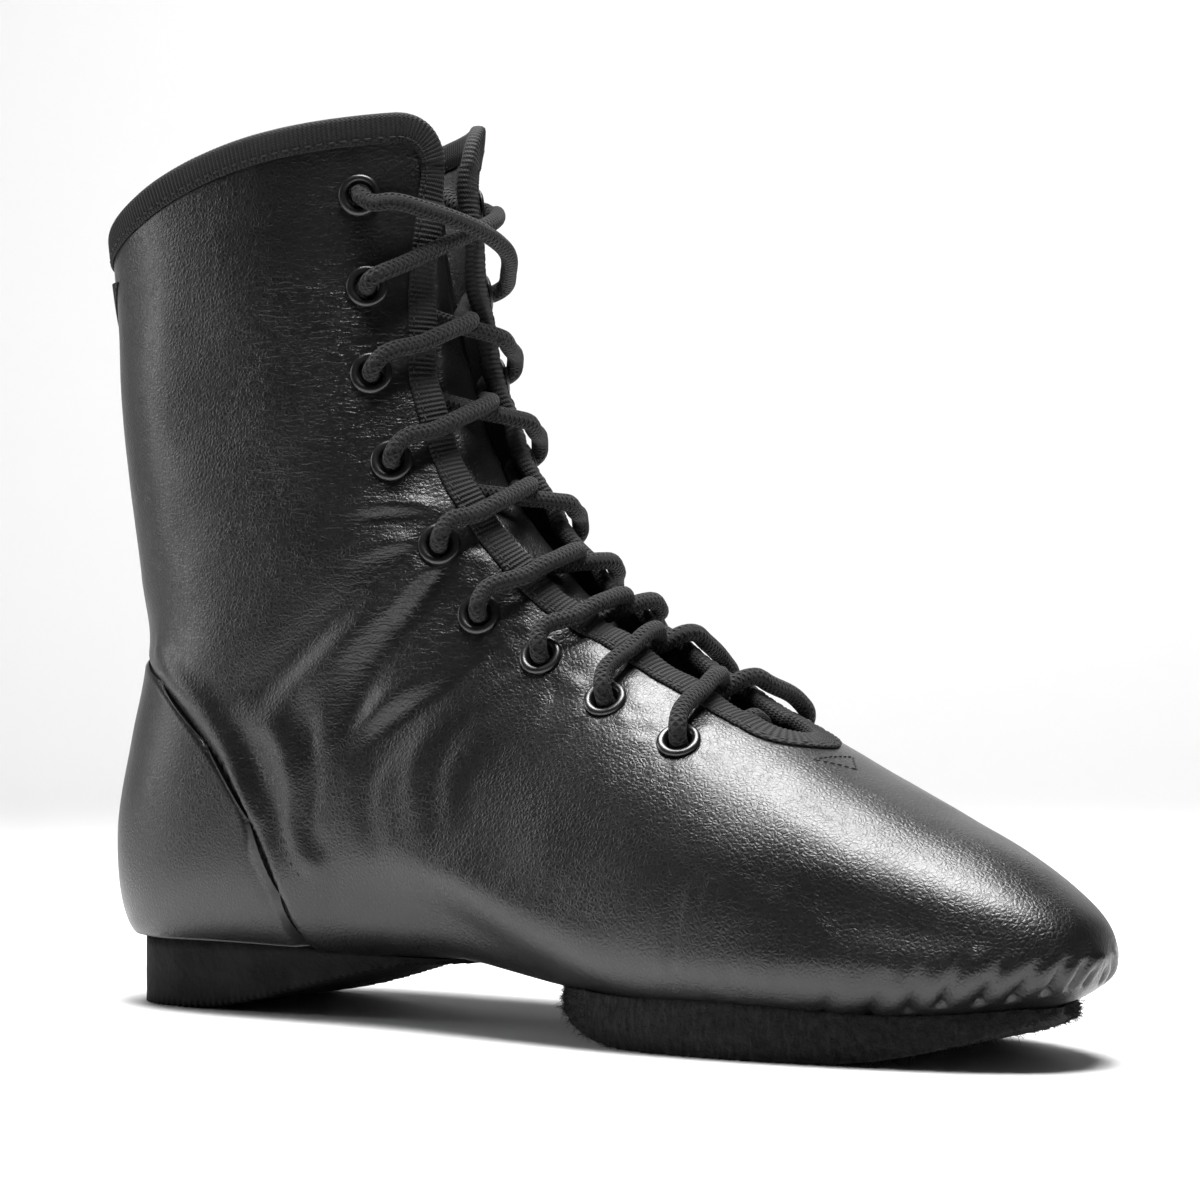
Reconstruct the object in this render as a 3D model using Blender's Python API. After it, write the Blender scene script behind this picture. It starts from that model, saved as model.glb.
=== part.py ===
# Dance boot: a soft leather lace-up ankle boot with a split sole, left foot.
# Metres. +X points from heel to toe, +Y to the outer side, +Z up, floor at z = 0.
import math

import bmesh
import bpy
import numpy as np
from mathutils import Vector
from mathutils.bvhtree import BVHTree

for item in list(bpy.data.objects):
    bpy.data.objects.remove(item, do_unlink=True)

# Driving sizes of the boot
LENGTH = 0.240
BALL_WIDTH = 0.080
HEEL_WIDTH = 0.056
SHAFT_WIDTH = 0.058
INSTEP_HEIGHT = 0.096
SHAFT_HEIGHT = 0.086
HEEL_THICK = 0.0105
SOLE_THICK = 0.0050
WALL = 0.0016
SEAT = 0.0003
COLLAR_ARCH = 0.0050
COLLAR_CORNER = 0.0150
THROAT_GAP = 0.0230
TAPE_WIDTH = 0.0056
TAPE_THICK = 0.0006
TAPE_ROOM = 0.0009
TONGUE_THICK = 0.0013
TONGUE_LAP = 0.0085
INSOLE_THICK = 0.0018
INSOLE_ROOM = 0.0005
COUNTER_THICK = 0.0009
GORE_THICK = 0.0007
GORE_WIDTH = 0.040
EYELET_RADIUS = 0.0045
EYELET_HOLE = 0.0025
EYELET_BARREL = 0.0004
EYELET_RISE = 0.0009
EYELET_BACK = 0.0155
EYELET_SIDES = 8
LACE_RADIUS = 0.0019
LACE_SIDES = 6
LACE_LIFT = 0.0009
PAD_LENGTH = 0.088
PAD_WIDTH = 0.047
PAD_BACK = 0.0040
PAD_RISE = 0.0020
PATCH_WIDTH = 0.067
EDGE_THICK = 0.0010

# Sections of the shaft, collar first. A section runs from a point on the front line
# to a point on the back line. x: shares of LENGTH. z: shares of SHAFT_HEIGHT over the instep.
# near, far: half widths as shares of SHAFT_WIDTH. widest: where the width peaks, front to back.
# front_round, back_round: exponents of the outline, 2 being an ellipse.
SHAFT_COLUMNS = ("front_x", "front_z", "back_x", "back_z", "near", "far",
                 "widest", "front_round", "back_round")
SHAFT_ROWS = [
    (0.350, 0.994, -0.0350, 0.703, 0.500, 0.500, 0.50, 2.1, 2.3),
    (0.348, 0.762, -0.0250, 0.506, 0.500, 0.500, 0.50, 2.1, 2.3),
    (0.356, 0.517, -0.0175, 0.297, 0.510, 0.510, 0.50, 2.2, 2.3),
    (0.375, 0.308, -0.0075, 0.064, 0.520, 0.520, 0.50, 2.3, 2.3),
    (0.404, 0.128, 0.0080, -0.169, 0.535, 0.535, 0.50, 2.3, 2.3),
]

# Sections of the foot, instep first. They swing round the heel and then stand across the foot.
# heel: 1 over the heel pad, 0 over the forefoot patch. It picks the lift and the width.
# x: shares of LENGTH. z: shares of INSTEP_HEIGHT over the lift. near, far: half widths as
# shares of HEEL_WIDTH or BALL_WIDTH. sway: how far the section's middle lies to the outer side,
# as a share of BALL_WIDTH. The other columns are those of the shaft.
FOOT_COLUMNS = ("heel", "top_x", "top_z", "low_x", "low_z", "near", "far", "sway",
                "widest", "top_round", "low_round")
FOOT_ROWS = [
    (1.0, 0.4375, 0.995, 0.0210, 0.661, 0.571, 0.571, 0.000, 0.52, 2.3, 2.3),
    (1.0, 0.4690, 0.911, 0.0060, 0.464, 0.580, 0.580, 0.000, 0.54, 2.2, 2.4),
    (1.0, 0.4940, 0.854, -0.0060, 0.255, 0.589, 0.598, 0.000, 0.56, 2.2, 2.6),
    (1.0, 0.5170, 0.810, 0.0100, 0.073, 0.598, 0.607, 0.000, 0.58, 2.2, 2.9),
    (1.0, 0.5330, 0.786, 0.0420, 0.012, 0.598, 0.616, 0.000, 0.59, 2.2, 3.0),
    (1.0, 0.5500, 0.758, 0.1170, 0.003, 0.598, 0.634, 0.000, 0.60, 2.2, 2.8),
    (1.0, 0.5810, 0.706, 0.2580, 0.008, 0.600, 0.665, -0.002, 0.62, 2.2, 2.6),
    (0.8, 0.6210, 0.657, 0.3920, 0.032, 0.578, 0.655, -0.006, 0.64, 2.2, 2.5),
    (0.4, 0.6710, 0.618, 0.5080, 0.019, 0.525, 0.590, -0.014, 0.66, 2.2, 2.5),
    (0.0, 0.7250, 0.578, 0.6080, 0.006, 0.476, 0.524, -0.022, 0.68, 2.1, 2.6),
    (0.0, 0.7790, 0.516, 0.7000, 0.003, 0.450, 0.512, -0.030, 0.70, 2.1, 2.6),
    (0.0, 0.8400, 0.448, 0.7900, 0.003, 0.398, 0.470, -0.040, 0.71, 2.1, 2.5),
    (0.0, 0.8990, 0.380, 0.8730, 0.016, 0.328, 0.395, -0.052, 0.70, 2.1, 2.4),
    (0.0, 0.9500, 0.313, 0.9410, 0.047, 0.250, 0.290, -0.065, 0.62, 2.0, 2.2),
    (0.0, 0.9870, 0.245, 0.9870, 0.094, 0.147, 0.162, -0.077, 0.55, 2.0, 2.0),
    (0.0, 1.0030, 0.167, 1.0030, 0.167, 0.000, 0.000, -0.083, 0.50, 2.0, 2.0),
]

# Half widths of the throat down its length, as shares of THROAT_GAP. row: section number.
THROAT_COLUMNS = ("row", "near", "far")
THROAT_ROWS = [
    (0.0, 0.11, 0.11),
    (1.3, 0.33, 0.20),
    (2.8, 0.57, 0.35),
    (4.3, 0.61, 0.39),
    (7.0, 0.50, 0.35),
    (10.0, 0.40, 0.32),
    (13.0, 0.31, 0.27),
    (20.0, 0.30, 0.27),
]

# Places and spans as section numbers: the throat's end, its rounded corners, how far the
# collar's arch reaches, and the first and last section of each other form.
THROAT_END = 13.9
CORNER_ROWS = 0.8
END_ROWS = 0.5
ARCH_ROWS = 2.4
HEEL_ROWS = (6.6, 11.0)
TONGUE_SPAN = (0.5, 14.7)
COUNTER_SPAN = (4.6, 12.6)
GORE_SPAN = (0.05, 6.4)
HEEL_OPENING = (10.4, 12.0)
FORE_OPENING = (14.3, 17.2)
SOLE_SPAN = 7.0

# Heel pad, as shares of PAD_LENGTH: where its rounded back ends, where its rounded front
# starts and where its lower face starts to climb. The exponents are those of the rounding.
PAD_BACK_ROUND = (0.28, 2.6)
PAD_FRONT_ROUND = (0.35, 2.2)
PAD_LEVEL = 0.24

# Forefoot patch: it lies level between two places, shares of LENGTH. Its ends spring up by
# shares of SOLE_THICK, along curves of these exponents.
PATCH_LEVEL = (0.620, 0.785)
PATCH_SPRING = (1.30, 1.55)
PATCH_CURVE = (1.7, 1.8)

# Grid steps of the faceted forms
CORNER_STEPS = 5
SHAFT_STEPS = 8
HEEL_STEPS = 10
WAIST_STEPS = 4
END_STEPS = 4
TOE_STEPS = 9
TOE_TIP = (0.5, 0.15, 0.0)
PAD_STEPS = 17
SOLE_STEPS = 9
TONGUE_STEPS = 6
INSOLE_STEPS = 5
COUNTER_STEPS = 7
GORE_STEPS = 4
STRAND_STEPS = 6
CURVE_SAMPLES = 240
SLOPE_STEP = 0.02
GORE_REACH = 0.1

# Nine pairs of eyelets, top first. back: how far behind the throat edge, as shares of EYELET_BACK.
EYELET_COLUMNS = ("row", "back")
EYELET_ROWS = [
    (0.78, 1.22),
    (1.70, 0.96),
    (2.65, 0.88),
    (3.75, 0.90),
    (5.20, 0.88),
    (7.00, 1.08),
    (9.60, 1.02),
    (11.45, 1.04),
    (12.90, 1.10),
]

# Plan outline of the forefoot patch. x: shares of LENGTH. near, far: half widths as shares of
# PATCH_WIDTH. middle: how far its middle lies to the outer side, as a share of PATCH_WIDTH.
PATCH_COLUMNS = ("x", "near", "far", "middle")
PATCH_ROWS = [
    (0.490, 0.00, 0.00, 0.00),
    (0.500, 0.17, 0.17, 0.00),
    (0.525, 0.30, 0.31, 0.00),
    (0.575, 0.42, 0.44, -0.01),
    (0.640, 0.48, 0.52, -0.02),
    (0.715, 0.48, 0.53, -0.03),
    (0.790, 0.43, 0.50, -0.04),
    (0.853, 0.36, 0.43, -0.05),
    (0.911, 0.26, 0.31, -0.07),
    (0.949, 0.16, 0.19, -0.08),
    (0.965, 0.00, 0.00, -0.09),
]

# Half width of the insole along the foot. row: section number. half: shares of BALL_WIDTH.
INSOLE_COLUMNS = ("row", "half")
INSOLE_ROWS = [
    (9.4, 0.16),
    (10.0, 0.22),
    (11.0, 0.25),
    (13.0, 0.27),
    (15.0, 0.37),
    (17.0, 0.33),
    (18.5, 0.17),
]

# Front edge of the counter seen from the side. x: shares of LENGTH. z: shares of INSTEP_HEIGHT.
SEAM_COLUMNS = ("x", "z")
SEAM_ROWS = [
    (-0.060, 0.700),
    (0.020, 0.700),
    (0.095, 0.630),
    (0.165, 0.500),
    (0.220, 0.330),
    (0.250, 0.170),
    (0.257, 0.058),
    (-0.060, 0.058),
]

# Half width of the stretch gore up the back. z: shares of SHAFT_HEIGHT over the instep.
# half: shares of GORE_WIDTH.
GORE_COLUMNS = ("z", "half")
GORE_ROWS = [
    (-0.300, 0.21),
    (0.050, 0.24),
    (0.350, 0.28),
    (0.500, 0.33),
    (0.570, 0.42),
    (0.618, 0.50),
]


def section_table():
    """All sections as one array in metres and exponents, shaft first, then foot."""
    out = []
    for front_x, front_z, back_x, back_z, near, far, widest, front_round, back_round in SHAFT_ROWS:
        base = HEEL_THICK + SEAT + INSTEP_HEIGHT
        out.append((front_x * LENGTH, base + front_z * SHAFT_HEIGHT,
                    back_x * LENGTH, base + back_z * SHAFT_HEIGHT,
                    near * SHAFT_WIDTH, far * SHAFT_WIDTH, 0.0, widest, front_round, back_round))
    for heel, top_x, top_z, low_x, low_z, near, far, sway, widest, top_round, low_round in FOOT_ROWS:
        base = heel * HEEL_THICK + (1 - heel) * SOLE_THICK + SEAT
        width = heel * HEEL_WIDTH + (1 - heel) * BALL_WIDTH
        out.append((top_x * LENGTH, base + top_z * INSTEP_HEIGHT,
                    low_x * LENGTH, base + low_z * INSTEP_HEIGHT,
                    near * width, far * width, sway * BALL_WIDTH, widest, top_round, low_round))
    return np.array(out)


SECTIONS = section_table()
LAST_ROW = len(SECTIONS) - 1
THROAT = np.array(THROAT_ROWS)
CENTRE_X = (SECTIONS[:, 0].max() + SECTIONS[:, 2].min() - SEAT - TAPE_THICK) / 2
CHORD = (1 - np.cos(np.linspace(0, np.pi, CURVE_SAMPLES))) / 2


def blend(table, place):
    """Rows of a table joined smoothly: cubic pieces whose slopes come from the next rows."""
    last = len(table) - 1
    slopes = np.gradient(table, axis=0)
    place = np.clip(np.asarray(place, float), 0, last)
    low = np.minimum(place.astype(int), last - 1)
    t = (place - low)[..., None]
    start, end = table[low], table[low + 1]
    return ((2 * t**3 - 3 * t**2 + 1) * start + (t**3 - 2 * t**2 + t) * slopes[low]
            + (-2 * t**3 + 3 * t**2) * end + (t**3 - t**2) * slopes[low + 1])


def half_section(row, side):
    """One side of a section: points from the front line to the back line, and the length to each."""
    top_x, top_z, low_x, low_z, near, far, sway, widest, top_round, low_round = row
    width = near if side < 0 else far
    above = np.clip((widest - CHORD) / widest, 0, 1)
    below = np.clip((CHORD - widest) / (1 - widest), 0, 1)
    reach = np.where(CHORD < widest, (1 - above**top_round) ** (1 / top_round),
                     (1 - below**low_round) ** (1 / low_round))
    points = np.stack([top_x + (low_x - top_x) * CHORD - CENTRE_X, sway + side * width * reach,
                       top_z + (low_z - top_z) * CHORD], -1)
    steps = np.linalg.norm(np.diff(points, axis=0), axis=1)
    return points, np.concatenate([[0.0], np.cumsum(steps)])


def skin(rows, turns):
    """Points of the upper's outer surface.

    rows: section numbers. turns: 0 on the front line, -1 or 1 on the back line, negative on
    the near side, one list for all rows or one list a row.
    """
    rows = np.atleast_1d(np.asarray(rows, float))
    turns = np.broadcast_to(turns, (len(rows), np.shape(turns)[-1]))
    out = np.zeros(turns.shape + (3,))
    for index, values in enumerate(blend(SECTIONS, rows)):
        turn = (turns[index] + 1) % 2 - 1
        for side in (-1, 1):
            pick = turn < 0 if side < 0 else turn >= 0
            points, along = half_section(values, side)
            for axis in range(3):
                out[index, pick, axis] = np.interp(np.abs(turn[pick]) * along[-1], along, points[:, axis])
        fade = np.clip(1 - rows[index] / ARCH_ROWS, 0, 1) ** 2
        out[index, :, 2] += COLLAR_ARCH * fade * np.sin(np.pi * np.abs(turn)) ** 2
    return out


def slopes_of(rows, turns):
    """How the surface moves for one row and for one turn."""
    rows = np.atleast_1d(np.asarray(rows, float))
    turns = np.broadcast_to(turns, (len(rows), np.shape(turns)[-1]))
    low = np.maximum(rows - SLOPE_STEP, 0)
    high = np.minimum(rows + SLOPE_STEP, LAST_ROW)
    by_row = (skin(high, turns) - skin(low, turns)) / (high - low)[:, None, None]
    by_turn = (skin(rows, turns + SLOPE_STEP) - skin(rows, turns - SLOPE_STEP)) / (2 * SLOPE_STEP)
    return by_row, by_turn


def normals(rows, turns):
    """Outward unit directions of the surface; straight ahead at the toe's tip."""
    by_row, by_turn = slopes_of(rows, turns)
    cross = np.cross(by_row, by_turn)
    size = np.linalg.norm(cross, axis=-1, keepdims=True)
    ahead = np.broadcast_to([1.0, 0.0, 0.0], cross.shape)
    tip = (np.atleast_1d(rows) > LAST_ROW - 1e-6)[:, None, None]
    return np.where(tip | (size < 1e-12), ahead, cross / np.maximum(size, 1e-12))


def half_lengths(rows, side):
    """Length of a half section at each row."""
    sections = blend(SECTIONS, np.atleast_1d(rows))
    return np.array([half_section(values, side)[1][-1] for values in sections])


def throat_edge(rows, side):
    """Turn at which the throat's edge lies, with its rounded top corner and rounded end."""
    rows = np.atleast_1d(np.asarray(rows, float))
    column = 1 if side < 0 else 2
    half = THROAT_GAP * np.interp(rows, THROAT[:, 0], THROAT[:, column])
    near_end = np.clip((rows - THROAT_END + END_ROWS) / END_ROWS, 0, 1)
    near_top = np.clip(1 - rows / CORNER_ROWS, 0, 1)
    half = half * np.sqrt(1 - near_end**2) + COLLAR_CORNER * (1 - np.sqrt(1 - near_top**2))
    return side * half / np.maximum(half_lengths(rows, side), 1e-6)


def turn_at(row, side, distance):
    """Turn at a distance from the front line, measured round the section."""
    return side * distance / half_lengths(row, side)[0]


def material(name, color, roughness, metallic=0.0):
    """A plain principled material."""
    made = bpy.data.materials.new(name)
    made.use_nodes = True
    shader = made.node_tree.nodes["Principled BSDF"]
    shader.inputs["Base Color"].default_value = (*color, 1.0)
    shader.inputs["Roughness"].default_value = roughness
    shader.inputs["Metallic"].default_value = metallic
    made.diffuse_color = (*color, 1.0)
    return made


def add_object(name, vertices, faces, finish):
    """One closed, outward-facing mesh object."""
    mesh = bpy.data.meshes.new(name)
    mesh.from_pydata([tuple(v) for v in vertices], [], faces)
    edit = bmesh.new()
    edit.from_mesh(mesh)
    bmesh.ops.remove_doubles(edit, verts=edit.verts, dist=1e-7)
    bmesh.ops.dissolve_degenerate(edit, edges=edit.edges, dist=1e-7)
    bmesh.ops.recalc_face_normals(edit, faces=edit.faces)
    if edit.calc_volume(signed=True) < 0:
        bmesh.ops.reverse_faces(edit, faces=edit.faces)
    edit.to_mesh(mesh)
    edit.free()
    mesh.shade_smooth()
    mesh.set_sharp_from_angle(angle=math.radians(50))
    made = bpy.data.objects.new(name, mesh)
    bpy.context.scene.collection.objects.link(made)
    if finish is not None:
        mesh.materials.append(finish)
    return made


def add_cutter(name, vertices, faces):
    """A hidden helper solid."""
    made = add_object(name, vertices, faces, None)
    made.hide_render = True
    made.display_type = "WIRE"
    return made


def combine(target, cutter, operation):
    """Cuts, joins or keeps what the two solids share."""
    step = target.modifiers.new(operation.lower(), "BOOLEAN")
    step.operation = operation
    step.solver = "EXACT"
    step.object = cutter


def grid_faces(kept, across):
    """Four-cornered faces of the cells marked in kept, for points stored row after row."""
    cells = np.argwhere(kept)
    corner = cells[:, 0] * across + cells[:, 1]
    return np.stack([corner, corner + 1, corner + across + 1, corner + across], -1)


def thick_sheet(name, outer, inner, kept, merged, finish):
    """A closed wall between two grids of points; its free edges are bridged.

    kept: the cells that exist. merged: for each point, the point that stands for it.
    """
    count = outer.shape[0] * outer.shape[1]
    faces = merged[grid_faces(kept, outer.shape[1])]
    edges = {}
    for face in faces.tolist():
        ring = [v for v, before in zip(face, face[-1:] + face[:-1]) if v != before]
        for a, b in zip(ring, ring[1:] + ring[:1]):
            if (b, a) in edges:
                del edges[(b, a)]
            else:
                edges[(a, b)] = True
    solid = []
    for face in faces.tolist():
        for corner in (face[:3], face[2:] + face[:1]):
            if len(set(corner)) == 3:
                solid.append(corner)
                solid.append([v + count for v in reversed(corner)])
    solid += [[b, a, a + count, b + count] for a, b in edges]
    points = np.concatenate([outer.reshape(-1, 3), inner.reshape(-1, 3)])
    used = sorted({v for ring in solid for v in ring})
    place = {v: i for i, v in enumerate(used)}
    return add_object(name, points[used], [[place[v] for v in ring] for ring in solid], finish)


def sheet_at(rows, turns, depth):
    """Surface points moved outward by depth, or inward where it is negative."""
    return skin(rows, turns) + normals(rows, turns) * depth


def rounded(start, end, steps):
    """Values that crowd toward start, as the heights on a quarter circle do."""
    return start + (end - start) * (1 - np.cos(np.linspace(0, np.pi / 2, steps)))


def upper_rows():
    """Rows of the upper's grid: dense at the collar's corner, the heel and the throat's end."""
    corner = rounded(0.0, CORNER_ROWS, CORNER_STEPS)
    shaft = np.linspace(CORNER_ROWS, HEEL_ROWS[0], SHAFT_STEPS)
    heel = np.linspace(*HEEL_ROWS, HEEL_STEPS)
    waist = np.linspace(HEEL_ROWS[1], THROAT_END - END_ROWS, WAIST_STEPS)
    end = rounded(THROAT_END, THROAT_END - END_ROWS, END_STEPS)[::-1]
    toe = np.linspace(THROAT_END, LAST_ROW - 1, TOE_STEPS)
    tip = LAST_ROW - np.array(TOE_TIP)
    return np.concatenate([corner, shaft[1:], heel[1:], waist[1:], end[1:], toe[1:], tip])


ROWS = upper_rows()
HALF_COLUMNS = 13
LAP_SHARE = np.array([0.0, 0.5, 1.0])


def upper_turns(rows):
    """Turns of the upper's grid: throat edge, tape's inner edge, then steps that crowd at both ends."""
    out = []
    for side in (-1, 1):
        edge = np.abs(throat_edge(rows, side))
        length = np.maximum(half_lengths(rows, side), 1e-6)
        lap = np.minimum(TAPE_WIDTH / length, (1 - edge) / HALF_COLUMNS * 2)
        rest = np.linspace(0, 1, HALF_COLUMNS - 2)[1:]
        rest = (rest + (1 - np.cos(np.pi * rest)) / 2) / 2
        first = edge[:, None] + lap[:, None] * LAP_SHARE
        even = first[:, -1:] + (1 - first[:, -1:]) * rest
        out.append(np.concatenate([first, even], 1))
    return np.concatenate([-out[0], out[1][:, ::-1][:, 1:]], 1)


TURNS = upper_turns(ROWS)
MIDDLE = HALF_COLUMNS - 1


def nearest_row(value):
    """Index of the grid row nearest a section number."""
    return int(np.abs(ROWS - value).argmin())


def on_grid(rows, turns, depth):
    """Points on the flat faces between the upper's own grid lines, moved outward by depth."""
    out = np.zeros(turns.shape + (3,))
    for index, row in enumerate(rows):
        lines = TURNS[nearest_row(row)]
        points = sheet_at([row], lines, depth)[0]
        round_back = np.where(np.arange(len(lines)) <= MIDDLE, lines + 2, lines)
        for axis in range(3):
            out[index, :, axis] = np.interp(-turns[index], -round_back, points[:, axis])
    return out


OPEN_HEEL = (nearest_row(HEEL_OPENING[0]), nearest_row(HEEL_OPENING[1]), 1)
OPEN_FORE = (nearest_row(FORE_OPENING[0]), nearest_row(FORE_OPENING[1]), 2)


def make_upper():
    """The leather upper: a hollow wall, open at the collar, down the throat and under both soles."""
    across = TURNS.shape[1]
    kept = np.ones((len(ROWS) - 1, across - 1), bool)
    for first, last, reach in (OPEN_HEEL, OPEN_FORE):
        kept[first:last, MIDDLE - reach:MIDDLE + reach] = False
    merged = np.arange(len(ROWS) * across)
    end = nearest_row(THROAT_END)
    for row in range(end, len(ROWS)):
        merged[row * across + across - 1] = row * across
    merged[(len(ROWS) - 1) * across:] = (len(ROWS) - 1) * across
    outer = sheet_at(ROWS, TURNS, 0.0)
    inner = sheet_at(ROWS, TURNS, -WALL)
    return thick_sheet("upper", outer, inner, kept, merged, LEATHER)


def edge_stations():
    """Row and turn of each point of the open edge: up the near throat, round, down the far."""
    end = nearest_row(THROAT_END)
    near = [(ROWS[i], TURNS[i, 0]) for i in range(end, 0, -1)]
    collar = [(0.0, turn) for turn in TURNS[0]]
    far = [(ROWS[i], TURNS[i, -1]) for i in range(1, end)]
    return np.array(near + collar + far)


def make_binding():
    """Woven tape folded over the collar and the throat's edges, one closed loop."""
    stations = edge_stations()
    rows, turns = stations[:, 0], stations[:, 1]
    edge = skin(rows, turns[:, None])[:, 0]
    outward = normals(rows, turns[:, None])[:, 0]
    by_row, by_turn = [slope[:, 0] for slope in slopes_of(rows, turns[:, None])]
    ahead = np.roll(edge, -1, axis=0) - np.roll(edge, 1, axis=0)
    inward = np.cross(outward, ahead)
    inward /= np.linalg.norm(inward, axis=1, keepdims=True)
    lap_rows = []
    for share in (0.5, 1.0):
        moved = []
        for k in range(len(stations)):
            basis = np.stack([by_row[k], by_turn[k]], 1)
            change = np.linalg.lstsq(basis, inward[k] * TAPE_WIDTH * share, rcond=None)[0]
            moved.append((max(rows[k] + change[0], 0.0), turns[k] + change[1]))
        lap_rows.append(np.array(moved))
    low, high = SEAT, SEAT + TAPE_THICK
    deep, deeper = WALL + TAPE_ROOM, WALL + TAPE_ROOM + TAPE_THICK
    laps = [(skin(m[:, 0], m[:, 1:])[:, 0], normals(m[:, 0], m[:, 1:])[:, 0]) for m in lap_rows]
    (half_at, half_out), (full_at, full_out) = laps
    loops = [
        full_at + full_out * high, half_at + half_out * high,
        edge + outward * high - inward * high, edge - outward * deeper - inward * high,
        full_at - full_out * deeper, full_at - full_out * deep,
        edge - outward * deep - inward * low, edge + outward * low - inward * low,
        half_at + half_out * low, full_at + full_out * low,
    ]
    points = np.stack(loops, 1)
    count, ring = points.shape[:2]
    faces = []
    for k in range(count):
        for j in range(ring):
            following = (k + 1) % count * ring
            faces.append([k * ring + j, k * ring + (j + 1) % ring,
                          following + (j + 1) % ring, following + j])
    return add_object("edge_binding", points.reshape(-1, 3), faces, TAPE)


def make_tongue():
    """A single leather flap under the lacing, wider than the throat."""
    rows = ROWS[nearest_row(TONGUE_SPAN[0]):nearest_row(TONGUE_SPAN[1]) + 1]
    spread = np.linspace(-1, 1, TONGUE_STEPS)
    turns = []
    for row in rows:
        near = turn_at(row, -1, THROAT_GAP * np.interp(row, THROAT[:, 0], THROAT[:, 1]) + TONGUE_LAP)
        far = turn_at(row, 1, THROAT_GAP * np.interp(row, THROAT[:, 0], THROAT[:, 2]) + TONGUE_LAP)
        turns.append(np.where(spread < 0, -spread * near, spread * far))
    depth = WALL + TAPE_ROOM + TAPE_THICK + SEAT
    outer = sheet_at(rows, np.array(turns), -depth)
    inner = sheet_at(rows, np.array(turns), -depth - TONGUE_THICK)
    kept = np.ones((len(rows) - 1, len(spread) - 1), bool)
    return thick_sheet("tongue", outer, inner, kept, np.arange(len(rows) * len(spread)), LINING)


def make_insole():
    """The inner sock: follows the inside of the sole from heel to toe."""
    widths = np.array(INSOLE_ROWS)
    rows = ROWS[nearest_row(widths[0, 0]):nearest_row(widths[-1, 0]) + 1]
    spread = np.linspace(-1, 1, INSOLE_STEPS)
    reach = np.interp(rows, widths[:, 0], widths[:, 1]) * BALL_WIDTH
    turns = 1 + spread * (reach / half_lengths(rows, -1))[:, None]
    depth = WALL + INSOLE_ROOM
    kept = np.ones((len(rows) - 1, len(spread) - 1), bool)
    outer, inner = on_grid(rows, turns, -depth), on_grid(rows, turns, -depth - INSOLE_THICK)
    return thick_sheet("insole", outer, inner, kept, np.arange(turns.size), LINING)


def underside():
    """The upper's lower surface with the seat's clearance, ready for straight lines from below."""
    rows = np.linspace(SOLE_SPAN, LAST_ROW, 53)
    turns = np.linspace(0.5, 1.5, 41)
    points = sheet_at(rows, turns, SEAT)
    faces = grid_faces(np.ones((len(rows) - 1, len(turns) - 1), bool), len(turns))
    return BVHTree.FromPolygons([Vector(p) for p in points.reshape(-1, 3)], faces.tolist())


def make_sole_piece(name, stations, near, far, middle, bottom, finish):
    """A sole piece under the upper: flat or sprung below, fitted to the upper above.

    stations: x of each row. near, far: half widths there. middle: y they are measured from.
    bottom: height of its lower face.
    """
    spread = np.sin(np.linspace(-np.pi / 2, np.pi / 2, SOLE_STEPS))
    low, high = [], []
    for x, a, b, centre, z in zip(stations, near, far, middle, bottom):
        for share in spread:
            y = centre + share * (a if share < 0 else b)
            hit = SEAT_FORM.ray_cast(Vector((x - CENTRE_X, y, -LENGTH)), Vector((0, 0, 1)))[0]
            top = max(hit.z, EDGE_THICK)
            low.append((x - CENTRE_X, y, min(z, top - EDGE_THICK)))
            high.append((x - CENTRE_X, y, top))
    shape = (len(stations), len(spread), 3)
    kept = np.ones((shape[0] - 1, shape[1] - 1), bool)
    merged = np.arange(shape[0] * shape[1])
    merged[:shape[1]] = 0
    merged[-shape[1]:] = shape[0] * shape[1] - shape[1]
    outer, inner = np.array(high).reshape(shape), np.array(low).reshape(shape)
    return thick_sheet(name, outer, inner, kept, merged, finish)


def make_heel_pad():
    """The rubber heel pad: level under the heel, then rising to nothing along the arch."""
    (behind, back_power), (ahead, front_power) = PAD_BACK_ROUND, PAD_FRONT_ROUND
    share = (1 - np.cos(np.linspace(0, np.pi, PAD_STEPS))) / 2
    stations = PAD_BACK + PAD_LENGTH * share
    round_back = (1 - np.clip(1 - share / behind, 0, 1) ** back_power) ** (1 / back_power)
    round_front = (1 - np.clip((share - ahead) / (1 - ahead), 0, 1) ** front_power) ** (1 / front_power)
    half = PAD_WIDTH / 2 * round_back * round_front
    climb = np.clip((share - PAD_LEVEL) / (1 - PAD_LEVEL), 0, 1)
    bottom = (HEEL_THICK + PAD_RISE) * (3 * climb**2 - 2 * climb**3)
    return make_sole_piece("heel_pad", stations, half, half, 0 * half, bottom, RUBBER)


def make_forefoot_patch():
    """The suede forefoot sole: level at the ball, sprung up toward the arch and the toe."""
    outline = np.array(PATCH_ROWS)
    rows = blend(outline, np.linspace(0, len(outline) - 1, 2 * len(outline) - 1))
    x = rows[:, 0]
    behind = np.clip((PATCH_LEVEL[0] - x) / (PATCH_LEVEL[0] - x[0]), 0, 1)
    ahead = np.clip((x - PATCH_LEVEL[1]) / (x[-1] - PATCH_LEVEL[1]), 0, 1)
    lift = PATCH_SPRING[0] * behind ** PATCH_CURVE[0] + PATCH_SPRING[1] * ahead ** PATCH_CURVE[1]
    bottom = SOLE_THICK * lift
    near, far = np.maximum(rows[:, 1], 0) * PATCH_WIDTH, np.maximum(rows[:, 2], 0) * PATCH_WIDTH
    middle = rows[:, 3] * PATCH_WIDTH
    return make_sole_piece("forefoot_sole", x * LENGTH, near, far, middle, bottom, SUEDE)


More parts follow.
